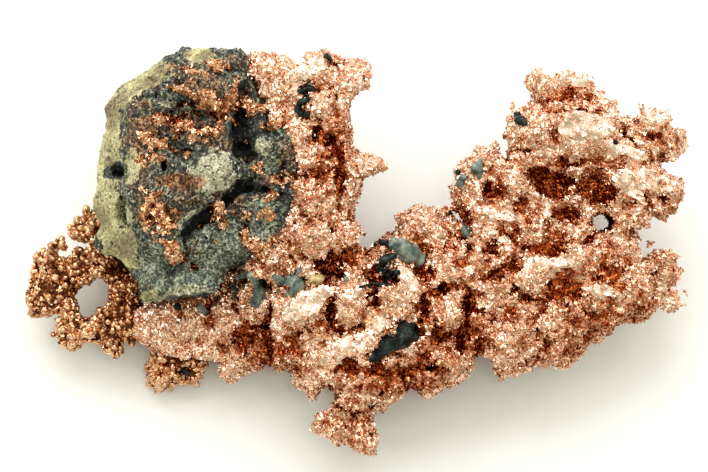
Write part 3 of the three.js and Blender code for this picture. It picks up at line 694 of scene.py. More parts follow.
def patch_amount(places, patches):
    """How far each place in the face is inside any of some turned ellipses: 1 at a middle, 0 at a rim,
    and no less than -1 outside."""
    amount = np.full(len(places), -1.0)
    for across, up, half_width, half_height, turn in patches:
        angle = math.radians(turn)
        right, above = places[:, 0] - across, places[:, 1] - up
        along = (right * math.cos(angle) + above * math.sin(angle)) / half_width
        over = (above * math.cos(angle) - right * math.sin(angle)) / half_height
        amount = np.maximum(amount, 1 - np.sqrt(along**2 + over**2))
    return amount


MORE_FILM_AND_SHADE, LESS_FILM = 0.17, 0.09        # what a brown patch adds to the film and painted shade, and a clean one takes off


def film_and_shade_amount(points):
    """How much browner the copper is painted than shelter alone gives: more in the brown patches, partly
    real film and partly painted shade, less in the clean ones, with uneven edges."""
    places = in_face(points)
    torn = waves(points, (0.3, 2.4, 71), (0.2, 1.0, 72))
    brown = smooth_step(patch_amount(places, BROWN_PATCHES) + torn, -0.1, 0.6)
    clean = smooth_step(patch_amount(places, CLEAN_PATCHES) + torn, -0.1, 0.6)
    return MORE_FILM_AND_SHADE * brown - LESS_FILM * clean


def hollowed(field, places, hollows, rough):
    """A field with ellipsoid hollows cut out of it: the greater of the field and how deep a point is in
    each hollow, which is one less its offset in half sizes, times the smallest half size, plus the
    roughness of the wall."""
    order = np.argsort(places[:, 0])
    across = places[order, 0]
    for hollow in hollows:
        centre, half = np.array(hollow[:3]), np.array(hollow[3:])
        reach = half * 1.3 + 1.2
        first, last = np.searchsorted(across, [centre[0] - reach[0], centre[0] + reach[0]])
        near = order[first:last]
        near = near[(np.abs(places[near] - centre) < reach).all(-1)]
        offset = (places[near] - centre) / half
        depth = (1 - np.sqrt((offset**2).sum(-1))) * half.min() + rough[near] * min(half.min(), 1.0)
        field[near] = np.maximum(field[near], depth)
    return field


CAVE_CHANCE = 0.78                       # one cell in five or so, above this chance value, holds a cave


def copper_growth(points, facing, calm):
    """How far the copper grows out beyond its solids, in mm, how deep in a random cave a point is, and how
    rough a hollow's wall is. Growth is heaps of crystals of three sizes and slow waves, with seams sunk
    between the heaps where a slow noise passes zero. The heaps, waves and seams are less where the surface
    faces sideways, all is calmer on the smooth plates, and less on the thin loop and near the very top. A
    heap's growth falls with the square of its distance, so that heaps are round and the lines between them
    sharp."""
    warp = ripple(points, 1.4, 5)[:, None]
    heaps, _ = rubble(points + 0.9 * warp, 2.9, 3)
    clumps, _ = rubble(points + 0.5 * warp, 1.4, 4)
    knobs, _ = rubble(points, 0.7, 6)
    caves, chance = rubble(points + 0.8 * warp, 3.1, 9)
    slow = waves(points, (0.5, 5.5, 1), (0.45, 2.3, 2))
    seam = 1 - smooth_step(np.abs(ripple(points + 0.5 * warp, 3.2, 7)), 0.0, 0.2)
    seam *= smooth_step(ripple(points, 4.0, 12), -0.3, 0.2)
    large = 0.08 - 0.65 * heaps**2 + slow - 0.35 * seam
    small = 0.2 - 0.75 * clumps**2 + 0.1 - 0.4 * knobs**2 + 0.35 * ripple(points, 0.8, 13)
    thin = smooth_step(-in_face(points)[:, 0], 26.0, 28.0)
    high = smooth_step(points[:, 2], 23.5, 26.5)
    growth = (large * (0.3 + 0.7 * facing) + small) * (1 - 0.9 * calm) - 0.2 * thin - 1.7 * high
    cave = np.where(chance > CAVE_CHANCE, (0.28 - caves) * 3.1, -BAND) - 3 * calm
    wall = 0.7 * (0.45 - clumps) + 0.5 * ripple(points, 1.1, 8) + 0.4 * ripple(points, 2.2, 10) - 0.15
    return np.stack([growth, cave + 0.5 * wall, wall], -1).astype(np.float32)


SHELL = 2.0                              # mm each side of the surface that growth and hollows reach


def steepness_out(field):
    """How squarely each grid point's nearest surface faces out of the face or into it: the size of the
    part of the field's slope that way, over the whole slope."""
    slopes = np.gradient(field)
    whole = np.sqrt(sum(slope**2 for slope in slopes)) + 1e-6
    return np.abs(sum(slope * part for slope, part in zip(slopes, FACE_AXES[2]))) / whole


def copper_field(joined, plates):
    """All branches as one field: the joined distances less the growth, with the hollows cut out. Only a
    shell round the surface is worked on."""
    field = cut_through(with_plates(joined, plates))
    facing = steepness_out(field)
    shell = np.abs(field) < SHELL
    points = GRID.places(shell)
    calm = by_blocks(lambda block: calmness(block, plates), points)
    growth, cave, wall = by_blocks(copper_growth, points, facing[shell], calm).T
    field[shell] = hollowed(np.maximum(field[shell] - growth, cave), in_face(points), HOLLOWS, wall)
    return field


def above_table(field, grid):
    """A field with nothing under the table: the greater of it and the depth below the table."""
    heights = (np.arange(grid.shape[2]) + grid.low[2]) * grid.spacing
    return np.maximum(field, -heights.astype(np.float32))


def own_part(node, distances, window):
    """How far each point is on another branch's side: half the difference of the two distances."""
    others = np.minimum.reduce([field[window] for name, field in distances.items() if name != node])
    return (distances[node][window] - others) / 2


# ---- crystal grains ----

# A crystal of four triangles.
CORNERS = np.array([[1, 1, 1], [1, -1, -1], [-1, 1, -1], [-1, -1, 1]]) / 1.3
CORNER_FACES = np.array([[0, 2, 1], [0, 1, 3], [0, 3, 2], [1, 2, 3]])
# A ball of twenty triangles: its two ends, a ring of five corners by each, and the faces between them.
BALL = np.array([
    [0, 0, -1], [0.72, -0.53, -0.45], [-0.28, -0.85, -0.45], [-0.89, 0, -0.45], [-0.28, 0.85, -0.45],
    [0.72, 0.53, -0.45], [0.28, -0.85, 0.45], [-0.72, -0.53, 0.45], [-0.72, 0.53, 0.45],
    [0.28, 0.85, 0.45], [0.89, 0, 0.45], [0, 0, 1],
])
BALL_FACES = np.array([
    [0, 1, 2], [1, 0, 5], [0, 2, 3], [0, 3, 4], [0, 4, 5], [1, 5, 10], [2, 1, 6], [3, 2, 7], [4, 3, 8],
    [5, 4, 9], [1, 10, 6], [2, 6, 7], [3, 7, 8], [4, 8, 9], [5, 9, 10], [6, 10, 11], [7, 6, 11],
    [8, 7, 11], [9, 8, 11], [10, 9, 11],
])[:, ::-1]


def turned(chance):
    """A turn for each row of three chance values: a quaternion spread evenly over all turns, as a
    matrix."""
    first, second = np.sqrt(1 - chance[:, 0]), np.sqrt(chance[:, 0])
    one, two = 2 * np.pi * chance[:, 1], 2 * np.pi * chance[:, 2]
    x, y, z, w = first * np.sin(one), first * np.cos(one), second * np.sin(two), second * np.cos(two)
    rows = [1 - 2 * (y * y + z * z), 2 * (x * y - z * w), 2 * (x * z + y * w),
            2 * (x * y + z * w), 1 - 2 * (x * x + z * z), 2 * (y * z - x * w),
            2 * (x * z - y * w), 2 * (y * z + x * w), 1 - 2 * (x * x + y * y)]
    return np.stack(rows, -1).reshape(-1, 3, 3)


def scattered(points, triangles, spacing, weight, rng):
    """Spots on a skin and the way each faces, one for each square of the spacing in its area times weight:
    triangles are drawn by that area, with an even spot in each."""
    a, b, c = (points[triangles[:, side]] for side in range(3))
    cross = np.cross(b - a, c - a)
    area = np.linalg.norm(cross, axis=1)
    count = int((area / 2 * weight).sum() / spacing**2)
    share = np.cumsum(area * weight)
    drawn = np.searchsorted(share, rng.random(count) * share[-1])
    one, two = rng.random((2, count, 1))
    flip = one + two > 1
    one, two = np.where(flip, 1 - one, one), np.where(flip, 1 - two, two)
    spots = a[drawn] + one * (b - a)[drawn] + two * (c - a)[drawn]
    return spots, cross[drawn] / (area[drawn, None] + 1e-9)


STRETCH = (0.65, 1.3)                    # how much a grain is stretched along each of its axes


def shapes_at(spots, normals, radii, rng, shape, shape_faces):
    """One small shape at each spot: stretched unevenly, turned at random, and raised by a third of its
    radius."""
    count, sides = len(spots), len(shape)
    stretch = rng.uniform(*STRETCH, (count, 1, 3))
    shapes = shape * stretch * radii[:, None, None]
    placed = np.einsum("nij,nkj->nki", turned(rng.random((count, 3))), shapes)
    placed += (spots + normals * radii[:, None] * 0.3)[:, None, :]
    faces = shape_faces + sides * np.arange(count)[:, None, None]
    return placed.reshape(-1, 3), faces.reshape(-1, 3)


# Each kind of grain: mm between them on a rough face, least and greatest radius in mm, corners and faces.
GRAIN_KINDS = {
    "grains": (0.38, (0.1, 0.3), CORNERS, CORNER_FACES),
    "droplets": (0.75, (0.3, 0.55), BALL, BALL_FACES),
}
DROPLET_BRANCHES = ("copper_left_loop", "copper_lower_knob")
ABOVE = 0.3                              # mm above the skin, where a grain's shelter is read
COPPER_REACHES = (3, 8)                  # grid steps: the two sizes of hollow painted dark on the copper, as film and painted shade
FULL_IN_OPEN, FULL_RANGE = 0.4, 0.45     # how full of copper the cubes round an open spot are, and how
                                         # much fuller those round the most sheltered one


def depth_in(field, reaches):
    """How sheltered each grid point is, from 0 in the open to 1 in a deep hollow: how full of copper the
    cubes round it are, as a mean over several sizes of cube."""
    full = (field < 0).astype(np.float32)
    mean = sum(blurred(full, reach) for reach in reaches) / len(reaches)
    return np.clip((mean - FULL_IN_OPEN) / FULL_RANGE, 0, 1)


def grains(name, points, triangles, weight, rng, kind, depth):
    """Grains of one kind over a skin, closer where the weight is higher: round droplets, or crystals with
    four flat sides. Depth gives how sheltered a spot is."""
    spacing, radii, shape, shape_faces = GRAIN_KINDS[kind]
    spots, normals = scattered(points, triangles, spacing, weight, rng)
    corners, faces = shapes_at(spots, normals, rng.uniform(*radii, len(spots)), rng, shape, shape_faces)
    corners[:, 2] = np.maximum(corners[:, 2], 0.0)
    sheltered = np.repeat(depth(spots + normals * ABOVE), len(shape))
    return f"{name}_{kind}", corners, faces, {"shelter": sheltered, "calm": np.zeros(len(corners))}


FACET_JITTER = 0.08                      # mm, how far a skin's points move to make hackly facets
OVERLAP = 0.1                            # mm that a branch's skin reaches past the middle of a fork
BETWEEN_DROPLETS_SHADE = 0.3                       # how much darker the skin between droplets is: painted shade under them


def copper_piece(node, field, distances, plates, index):
    """One branch: its skin with small hackly facets, its crystal grains, and droplets where it has them."""
    window, grid = GRID.crop(*node_box(node))
    side = own_part(node, distances, window)
    points, triangles = skin(np.maximum(field[window], side - OVERLAP), grid)
    calm = by_blocks(lambda block: calmness(block, plates), points)
    points = jittered(points, FACET_JITTER * (1 - 0.8 * calm[:, None]), 11 + index)
    points[:, 2] = np.maximum(points[:, 2], 0.0)
    slot = SLOTS[node]
    between = BETWEEN_DROPLETS_SHADE if node in DROPLET_BRANCHES else 0.0
    values = {"shelter": depth_at(points) + between, "calm": calm}
    stand_for(mesh_object(f"{node}_skin", points, triangles, FINISH[slot], values), node)

    rng = np.random.default_rng(100 + index)
    inside = read_field(side, grid, points[triangles].mean(1)) < -0.15
    weight = (1 - 0.75 * calm[triangles].mean(1)) * inside
    for kind in ("grains", "droplets") if node in DROPLET_BRANCHES else ("grains",):
        name, corners, faces, values = grains(node, points, triangles, weight, rng, kind, depth_at)
        smooth = kind == "droplets"
        stand_for(mesh_object(name, corners, faces, FINISH[slot], values, smooth), node)


# ---- rock ----

ROCK = "matrix_rock"
ROCK_SPACING = 0.28                      # mm between grid points
ROCK_SHELL = 2.2                         # mm each side of the surface that its relief reaches
ROCK_JITTER = 0.07                       # mm, how far its points move to make small facets
ROCK_REACHES = (3, 7)                    # grid steps: the two sizes of hollow painted with shade on the rock
# Lumps of rock that lap over the copper beside it: across, up, out, and half sizes, mm.
ROCK_LUMPS = [
    (-9.8, 4.2, 6.9, 3.2, 4.0, 2.0), (-9.2, 9.6, 7.2, 2.6, 3.6, 1.7), (-10.9, 10.8, 8.2, 1.3, 1.5, 1.3),
    (-11.5, 0.2, 6.6, 3.0, 2.2, 1.7), (-16.4, 7.6, 9.0, 3.0, 2.6, 1.2), (-20.0, -5.6, 6.2, 4.6, 1.7, 1.4),
]
# Dents and cracks in the rock: across, up, out, and half sizes.
ROCK_HOLLOWS = [
    (-28.2, 7.6, 5.2, 1.3, 0.9, 2.6), (-27.6, 3.0, 5.6, 0.8, 2.2, 1.6), (-29.3, 8.9, 4.6, 0.4, 0.35, 1.6),
    (-29.3, 10.0, 4.4, 0.3, 0.3, 1.4), (-27.1, -1.7, 6.2, 0.25, 0.6, 1.4),
    (-12.9, 16.8, 8.6, 0.6, 1.8, 4.0), (-12.9, 14.6, 8.6, 0.9, 1.9, 4.4),
    (-13.2, 12.6, 8.6, 1.3, 2.0, 4.8), (-13.2, 10.9, 8.6, 1.3, 1.7, 4.6),
    (-12.5, 9.4, 8.6, 1.0, 1.0, 3.6), (-19.8, 0.3, 8.4, 1.4, 0.4, 2.8), (-18.0, 1.9, 8.6, 1.0, 0.5, 3.0),
    (-16.6, 3.4, 8.6, 1.1, 0.6, 3.4), (-15.0, 4.9, 8.8, 1.3, 0.5, 3.4), (-12.9, 5.6, 8.6, 1.5, 0.6, 3.4),
    (-10.6, 5.4, 8.4, 1.0, 0.5, 3.0), (-8.3, 6.8, 8.0, 0.5, 2.2, 3.0),
    (-31.1, 13.4, 0.0, 1.5, 2.8, THROUGH), (-32.1, 8.0, 0.0, 1.6, 5.0, THROUGH),
    (-25.4, 14.4, 6.6, 0.5, 0.9, 1.6), (-22.3, 8.4, 8.0, 0.35, 0.8, 2.0),
    (-23.2, 16.4, 7.6, 0.4, 1.2, 2.0), (-17.0, 18.0, 8.4, 0.4, 0.8, 2.0),
    (-19.6, 10.0, 8.6, 0.8, 0.35, 2.0),
]
# Patches of colour on the rock: across, up, half sizes, turn in degrees.
RIND_PATCHES = [
    (-29.9, 4.0, 3.2, 9.0, 4), (-29.6, 14.0, 2.6, 6.0, -8), (-25.7, 18.0, 4.4, 2.4, 36),
    (-18.6, 21.6, 2.2, 1.3, 0), (-27.4, -1.2, 2.6, 3.2, 0), (-24.2, -7.0, 1.4, 0.9, 0),
    (-26.0, 8.0, 1.2, 3.0, 0),
]
CRUST_PATCHES = [
    (-16.6, 7.4, 3.4, 3.0, 0), (-10.8, 10.6, 1.1, 1.2, 0), (-19.4, 1.7, 2.8, 0.9, 36),
    (-22.5, 3.4, 1.0, 0.7, 0), (-21.0, 15.4, 2.6, 0.5, -10), (-19.8, -6.4, 2.6, 0.8, 10),
    (-23.0, -8.0, 2.6, 1.0, 14),
]
SLATE_PATCHES = [
    (-20.5, -5.0, 6.0, 3.4, -8), (-15.0, -0.6, 5.6, 3.0, 8), (-11.5, 2.2, 2.4, 2.2, 0),
    (-9.8, 8.2, 1.4, 1.4, 0),
]
RUST_PATCHES = [
    (-20.8, 6.5, 2.8, 1.4, -12), (-24.6, 12.6, 1.6, 1.2, 0), (-22.4, 19.8, 1.4, 0.7, 30),
]
# The black patches are painted shade: the cracks, a cavity and the line under the lower wedge.
BLACK_SHADE_PATCHES = [
    (-13.0, 12.8, 1.9, 4.6, 0), (-17.6, 2.5, 4.0, 0.8, 38), (-12.2, 5.6, 2.8, 0.9, 6),
    (-8.3, 6.8, 1.0, 2.8, 0), (-20.6, -8.0, 6.0, 0.7, 14), (-28.2, 7.6, 1.7, 1.1, 0),
]
PATCHES = {"slate": SLATE_PATCHES, "crust": CRUST_PATCHES, "rust": RUST_PATCHES, "rind": RIND_PATCHES,
           "black": BLACK_SHADE_PATCHES}


def rock_growth(points, facing):
    """How far the rock stands out beyond its solid, in mm, and how rough a crack's wall is: flat chips of
    noise, waves, crumbs of two sizes, and round pits where bubbles were. The large ones are less where
    the surface faces sideways, and all but the pits are less on the smooth rind at the left."""
    warp = ripple(points, 2.6, 21)[:, None]
    chips, step = rubble(points + 0.6 * warp, 3.6, 22)
    bubbles, size = rubble(points, 1.5, 23)
    crumbs, crumb_step = rubble(points + 0.2 * warp, 1.0, 24)
    dust, _ = rubble(points, 0.6, 29)
    large = 0.8 * (step - 0.6) + 0.5 * ripple(points, 3.4, 25)
    body = smooth_step(in_face(points)[:, 0], -27.0, -23.0)
    growth = large * (0.25 + 0.75 * facing) * (0.4 + 0.6 * body) - 0.15
    growth += 0.35 * ripple(points, 1.3, 26) * (0.5 + 0.5 * facing) * (0.3 + 0.7 * body)
    growth += (0.5 * (0.45 - crumbs) + 0.35 * (crumb_step - 0.5)) * (0.25 + 0.75 * body)
    growth += 0.5 * (0.5 - dust) * (0.4 + 0.6 * body)
    growth -= 0.9 * np.clip(0.3 * size - bubbles, 0, 1)
    return np.stack([growth, 0.5 * ripple(points, 1.1, 27) + 0.4 * (0.5 - crumbs)], -1)


def rock_patches(points):
    """How much of each colour patch each point has, with uneven edges. The broken back, which faces down,
    is weathered like the rind in large patches."""
    places = in_face(points)
    torn = waves(points, (0.35, 2.2, 31), (0.3, 0.9, 32))
    values = {label: smooth_step(patch_amount(places, patches) + torn, -0.2, 0.6)
              for label, patches in PATCHES.items()}
    below = smooth_step(-places[:, 2], -4.0, 2.0)
    values["rind"] = np.maximum(values["rind"], below * smooth_step(torn, -0.3, 0.3))
    return np.stack(list(values.values()), -1)


def with_lumps(field, grid):
    """The rock's field joined to its lumps, each an ellipsoid: its offset in half sizes, less one, times
    its smallest half size."""
    places = in_face(grid.places(np.ones(grid.shape, bool)))
    for lump in ROCK_LUMPS:
        offset = (places - np.array(lump[:3])) / np.array(lump[3:])
        apart = (np.sqrt((offset**2).sum(-1)) - 1) * min(lump[3:])
        field = np.minimum(field, apart.reshape(grid.shape).astype(np.float32))
    return field


def rock_piece():
    """The lava block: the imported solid's distance less the growth, with its cracks and dents cut out."""
    grid = Grid(*node_box(ROCK), ROCK_SPACING)
    field = with_lumps(blurred(distance_to(ROCK, grid), 1), grid)
    facing = steepness_out(field)
    shell = np.abs(field) < ROCK_SHELL
    points = grid.places(shell)
    growth, wall = by_blocks(rock_growth, points, facing[shell]).T
    field[shell] = hollowed(field[shell] - growth, in_face(points), ROCK_HOLLOWS, wall)
    field = above_table(field, grid)
    points, triangles = skin(field, grid)
    points = jittered(points, ROCK_JITTER, 28)
    points[:, 2] = np.maximum(points[:, 2], 0.0)
    # How sheltered the rock is: its colour is painted darker there as shade.
    depth = depth_in(field, ROCK_REACHES)
    values = dict(zip(PATCHES, by_blocks(rock_patches, points).T))
    values["shelter"] = read_field(depth, grid, points)
    stand_for(mesh_object("matrix_rock_skin", points, triangles, LAVA, values), ROCK)
    return field, grid


# Crusts of copper that grew on the rock: across, up, half sizes, turn in degrees.
CRUSTS = [
    (-21.0, 13.1, 3.9, 1.1, -20), (-23.7, 11.2, 1.5, 1.4, 0), (-20.8, 17.4, 1.3, 0.9, 0),
    (-18.2, 17.2, 1.2, 1.0, 0), (-17.6, 18.8, 0.9, 0.7, 0), (-15.4, 15.2, 2.2, 1.3, 0),
    (-16.0, 20.2, 1.0, 0.6, 0), (-24.6, 8.7, 0.8, 1.0, 0), (-22.9, 9.3, 0.6, 0.7, 0),
    (-23.4, 2.4, 1.9, 2.3, 0), (-21.8, -1.2, 0.9, 1.3, 0), (-21.0, -2.6, 0.9, 0.6, 0),
    (-15.9, 2.6, 1.0, 0.9, 0), (-15.2, 1.3, 0.5, 0.4, 0), (-13.0, 0.6, 0.7, 1.2, 0),
    (-12.7, 2.2, 0.6, 0.7, 0), (-11.4, 8.0, 0.8, 0.7, 0), (-9.3, 6.8, 0.7, 0.9, 0),
    (-9.5, 4.8, 0.8, 0.8, 0), (-12.0, 15.3, 0.9, 0.8, 0), (-9.4, 13.4, 1.2, 0.9, 0),
    (-17.2, 12.4, 1.4, 0.8, 10), (-10.6, -1.2, 1.8, 1.2, 0), (-18.8, -3.6, 0.6, 0.5, 0),
    (-17.6, 15.8, 1.4, 0.7, 30), (-22.6, 13.9, 1.2, 0.6, 0), (-19.6, 19.4, 0.8, 0.5, 0),
    (-10.2, 2.6, 0.8, 0.6, 0),
]
CRUST_HEIGHT = 0.9                       # mm, at the middle of a crust
CRUST_DEPTH = 1.2                        # mm that a crust reaches into the rock
CRUST_SHELL = 2.4                        # mm each side of the rock's surface that it is worked out in
SPECKLED = [(-17.5, 9.0, 9.5, 13.5, 0)]  # the part of the rock that has stray specks of copper


def crust_growth(points):
    """How far a crust of copper stands above the rock, in mm, and how far inside its outline it is: high
    at its middle and less by heaps of crystals of two sizes, with a torn outline and stray specks. It is
    thinner near the specimen's very top, and there is none on the rock's underside."""
    places = in_face(points)
    torn = waves(points, (0.6, 1.2, 61), (0.9, 0.6, 62)) - 0.22
    amount = patch_amount(places, CRUSTS) + torn
    specks = 1.1 * smooth_step(ripple(points, 0.9, 63), 0.4, 0.75)
    amount += specks * smooth_step(patch_amount(places, SPECKLED), 0.0, 0.2)
    clumps, _ = rubble(points, 1.2, 64)
    knobs, _ = rubble(points, 0.65, 65)
    height = CRUST_HEIGHT * smooth_step(amount, 0.0, 1.2) + 0.35 - 0.8 * clumps**2 + 0.1 - 0.35 * knobs**2
    height -= 1.1 * smooth_step(points[:, 2], 24.5, 26.8)
    inward = np.where(places[:, 2] > 2.0, amount, -1.0)
    return np.stack([height, inward], -1).astype(np.float32)


def rock_crusts(rock, grid):
    """Copper crusts: the rock's field less their height, kept only inside their outlines, and grains."""
    shell = np.abs(rock) < CRUST_SHELL
    points = grid.places(shell)
    height, inward = by_blocks(crust_growth, points).T
    field = np.full(grid.shape, BAND, np.float32)
    field[shell] = np.maximum.reduce([rock[shell] - height, -inward, -CRUST_DEPTH - rock[shell]])
    points, triangles = skin(field, grid)
    points = jittered(points, FACET_JITTER, 66)
    # How sheltered the crust is: its colour shows this as film and as painted shade.
    depth = depth_in(np.minimum(rock, field), ROCK_REACHES)

    def depth_of(spots):
        return read_field(depth, grid, spots)

    values = {"shelter": depth_of(points), "calm": np.zeros(len(points))}
    weight = np.ones(len(triangles))
    rng = np.random.default_rng(7)
    skin_parts = ("matrix_rock_copper_skin", points, triangles, values)
    grain_parts = grains("matrix_rock_copper", points, triangles, weight, rng, "grains", depth_of)
    for name, corners, faces, values in (skin_parts, grain_parts):
        stand_for(mesh_object(name, corners, faces, CRUST_COPPER, values), ROCK)


# ---- smooth mineral clots ----

CLOT_SPACING = 0.15                      # mm between grid points
CLOT_FILLET = 0.15                       # mm, how softly its drops run together
CLOT_REACH = 1.5                         # mm from its drops that the grid's noise reaches
# Each clot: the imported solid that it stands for, if any, its finish, and its runs of drops, each along a
# path on the surface: across, up and radius, mm.
CLOTS = {
    "clot_waxy_centre": ("clot_waxy_centre", "dark_clot", [
        [(2.0, -14.6, 0.55), (2.8, -14.0, 0.75), (3.6, -13.2, 0.95), (4.6, -12.7, 0.95), (5.8, -12.3, 0.95),
         (7.0, -11.9, 0.75)], [(6.3, -12.0, 0.9), (6.0, -11.0, 0.9), (6.5, -10.3, 0.7)]]),
    "clot_saddle": ("clot_saddle", "pale_clot", [
        [(4.8, -0.9, 0.75), (5.8, -1.4, 1.0), (6.8, -2.0, 1.05), (7.7, -2.7, 0.85), (7.6, -3.3, 0.6)],
        [(6.3, -2.6, 0.7), (5.2, -2.4, 0.6)]]),
    "clot_saddle_foot": ("clot_saddle", "dark_clot", [
        [(4.6, -2.4, 0.45), (3.5, -2.9, 0.5), (3.3, -3.8, 0.5), (4.0, -4.7, 0.55), (5.1, -4.3, 0.35)],
        [(2.6, -1.0, 0.3), (3.4, -0.7, 0.35), (4.2, -1.0, 0.4)],
        [(0.7, -6.0, 0.2), (2.4, -5.7, 0.2), (4.3, -5.8, 0.25)]]),
    "clot_hook": ("clot_hook", "dark_clot", [
        [(-6.4, 17.1, 0.35), (-5.6, 17.5, 0.45), (-4.8, 17.1, 0.35), (-5.2, 16.4, 0.3), (-6.1, 15.8, 0.4),
         (-6.7, 14.9, 0.35), (-6.2, 14.2, 0.4), (-5.3, 14.4, 0.35)],
        [(-3.3, 21.3, 0.4), (-2.8, 20.9, 0.3)]]),
    "clot_bow": ("clot_bow", "pale_clot", [
        [(-9.4, -4.8, 0.35), (-8.8, -5.3, 0.5), (-7.6, -5.2, 0.6), (-6.6, -4.7, 0.45), (-6.4, -4.0, 0.35)],
        [(-7.4, -5.3, 0.6), (-6.4, -5.7, 0.65), (-7.0, -6.6, 0.6), (-7.9, -6.9, 0.35)],
        [(-9.6, -5.9, 0.35), (-9.0, -6.6, 0.3)]]),
    "clot_drip": ("clot_drip", "pale_clot", [
        [(-13.9, -5.0, 0.35), (-13.0, -4.5, 0.4), (-12.0, -4.7, 0.5), (-11.4, -5.6, 0.55),
         (-11.2, -6.8, 0.6), (-11.6, -7.9, 0.75)], [(-14.6, -6.0, 0.35), (-14.2, -6.8, 0.3)]]),
    "clot_bead": ("clot_bead", "pale_clot", [[(13.3, 0.7, 0.6), (13.4, 0.2, 0.55)]]),
    "clots_upper_right": (None, "pale_clot", [
        [(14.9, 8.8, 0.45), (14.6, 8.0, 0.7), (15.0, 7.3, 0.5)], [(12.9, 6.9, 0.5), (12.6, 6.2, 0.5)]]),
    "clots_dark_small": (None, "dark_clot", [
        [(19.4, 14.3, 0.45), (19.8, 13.7, 0.55), (20.2, 13.3, 0.4)], [(31.0, 11.1, 0.35)],
        [(12.4, 7.6, 0.4)],
        [(-13.8, -7.2, 0.5)], [(-20.9, -16.3, 0.5), (-20.3, -16.5, 0.4)], [(-8.6, -5.9, 0.35)],
        [(-21.2, -8.5, 0.5)], [(-2.7, -1.9, 0.4)], [(-1.4, -1.7, 0.35)]]),
    "clot_yellow_grain": (None, "yellow_grain", [
        [(-4.7, -5.0, 0.5), (-4.3, -5.2, 0.6), (-3.9, -5.0, 0.45)]]),
    "clots_grey_small": (None, "pale_clot", [
        [(-18.5, -8.7, 0.55), (-18.0, -9.2, 0.4)], [(-0.8, -5.1, 0.3), (-1.1, -4.7, 0.2)]]),
}


def path_distance(places, path):
    """How far places are outside a run of drops: for each stretch between two drops, the distance to its
    nearest point less the radius there, and the smooth least of them all."""
    total = np.zeros(len(places))
    stretches = zip(path[:-1], path[1:]) if len(path) > 1 else [(path[0], path[0])]
    for first, last in stretches:
        start, run = np.array(first[:3]), np.subtract(last[:3], first[:3])
        along = np.clip(((places - start) @ run) / (run @ run + 1e-9), 0, 1)
        apart = np.linalg.norm(places - start - along[:, None] * run, axis=1)
        radius = first[3] + along * (last[3] - first[3])
        total += np.exp(-(apart - radius) / CLOT_FILLET)
    return -CLOT_FILLET * np.log(total + 1e-12)


def clot_piece(name, node, slot, paths, grounds):
    """A waxy clot of rounded drops that sits on whichever ground is higher, a third sunk. No drop of a path
    falls more than a millimetre below the middle one."""
    laid = []
    for path in paths:
        heights = [max(surface_height(*ground, across, up) for ground in grounds) for across, up, _ in path]
        heights = np.maximum(heights, np.median(heights) - 1.0)
        laid.append([(across, up, out + 0.25 * radius, radius)
                     for (across, up, radius), out in zip(path, heights)])
    spots = from_face([drop[:3] for path in laid for drop in path])
    grid = Grid(spots.min(0) + 1, spots.max(0) - 1, CLOT_SPACING)
    points = grid.places(np.ones(grid.shape, bool))
    places = in_face(points)
    field = np.minimum.reduce([path_distance(places, path) for path in laid])
    near = field < CLOT_REACH
    drops, _ = rubble(points[near], 0.9, 41)
    field[near] -= 0.22 * (0.5 - drops) + 0.12 * ripple(points[near], 0.5, 42)
    corners, triangles = skin(np.clip(field, -BAND, BAND).reshape(grid.shape).astype(np.float32), grid)
    piece = mesh_object(f"{name}_drops", corners, triangles, FINISH[slot], smooth=True)
    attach(piece, "root")
    if node:
        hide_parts(node)


# ---- making everything ----

distances = {node: distance_to(node, GRID) for node in BRANCHES}
joined = with_twigs(smoothly_joined(list(distances.values())))
plates = placed_plates(joined)
copper = above_table(copper_field(joined, plates), GRID)
# How sheltered the copper is: its colour shows this as film and as painted shade.
shelter = depth_in(copper, COPPER_REACHES)


def depth_at(spots):
    """Film and painted shade at spots on the copper: how sheltered they are, more or less in the patches.
    """
    return read_field(shelter, GRID, spots) + by_blocks(film_and_shade_amount, spots)


for index, node in enumerate(BRANCHES):
    copper_piece(node, copper, distances, plates, index)
rock, rock_grid = rock_piece()
rock_crusts(rock, rock_grid)
for name, (node, slot, paths) in CLOTS.items():
    clot_piece(name, node, slot, paths, [(copper, GRID), (rock, rock_grid)])


# ---- table, light and camera ----


def plain(name, code, roughness):
    """A plain matt finish for the table."""
    material, _, shader, _ = new_material(name)
    shader.inputs["Base Color"].default_value = linear(code)
    shader.inputs["Roughness"].default_value = roughness
    return material


def table():
    """A wide flat sheet under the specimen."""
    size = 3000.0
    corners = np.array([[-size, -size, 0], [size, -size, 0], [size, size, 0], [-size, size, 0]])
    paper = plain("matt_white_paper", "#F4F4EF", 0.9)
    mesh_object("table", corners, np.array([[0, 1, 2, 3]]), paper)


LAMP_AIM = Vector((0.0, 0.0, 10.0))      # mm, the middle of the specimen
ROOM_STRENGTH = 1.3
GLINT_SIZE, GLINT_POWER = 60, 0.14       # mm and watts


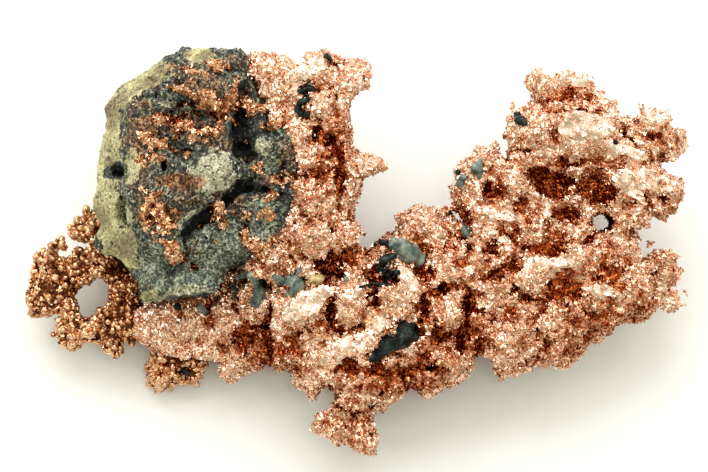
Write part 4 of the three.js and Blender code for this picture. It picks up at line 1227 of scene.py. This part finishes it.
def lamp(name, place, size, power):
    """A square soft lamp at a place in mm, facing the specimen: its size in mm, and its power in watts."""
    light = bpy.data.lights.new(name, "AREA")
    light.size = size * MM
    light.energy = power
    holder = bpy.data.objects.new(name, light)
    holder.location = Vector(place) * MM
    holder.rotation_euler = (LAMP_AIM - Vector(place)).to_track_quat("-Z", "Y").to_euler()
    bpy.context.scene.collection.objects.link(holder)


def room_light():
    """A room of pale walls: white above and behind, greyer in front and low down."""
    world = bpy.data.worlds.new("room")
    bpy.context.scene.world = world
    world.use_nodes = True
    tree = world.node_tree
    toward = add(tree, "TexCoord").outputs["Generated"]
    height = add(tree, "VectorMath", {0: toward, 1: (0.0, 0.6, 0.8)}, operation="DOT_PRODUCT")
    tone = add(tree, "ValToRGB", {"Fac": height.outputs["Value"]},
               [(0.0, "#ACAC9A"), (0.4, "#DDDDCE"), (0.8, "#FFFFFC")])
    tree.links.new(tone.outputs["Color"], tree.nodes["Background"].inputs["Color"])
    tree.nodes["Background"].inputs["Strength"].default_value = ROOM_STRENGTH


def studio():
    """Soft light from above and behind, small lamps for glints, and the room."""
    room_light()
    lamp("soft_top", (-80, 420, 520), 500, 2.5)
    lamp("glint_left", (-380, 60, 300), GLINT_SIZE, GLINT_POWER)
    lamp("glint_right", (300, 220, 380), GLINT_SIZE, GLINT_POWER)
    lamp("glint_high", (60, -80, 520), GLINT_SIZE, GLINT_POWER)


def camera():
    """A long lens square on to the face."""
    width = 84.96                        # mm of the face that the picture is wide
    lens, sensor = 180.0, 36.0
    distance = width * lens / sensor
    data = bpy.data.cameras.new("camera")
    data.lens, data.sensor_width = lens, sensor
    data.clip_start, data.clip_end = 0.01, 20
    holder = bpy.data.objects.new("camera", data)
    holder.location = Vector(from_face([0, 0, distance])) * MM
    holder.rotation_euler = Matrix(FACE_AXES).transposed().to_euler()
    bpy.context.scene.collection.objects.link(holder)
    bpy.context.scene.camera = holder


table()
studio()
camera()
bpy.context.scene.view_settings.view_transform = "Standard"
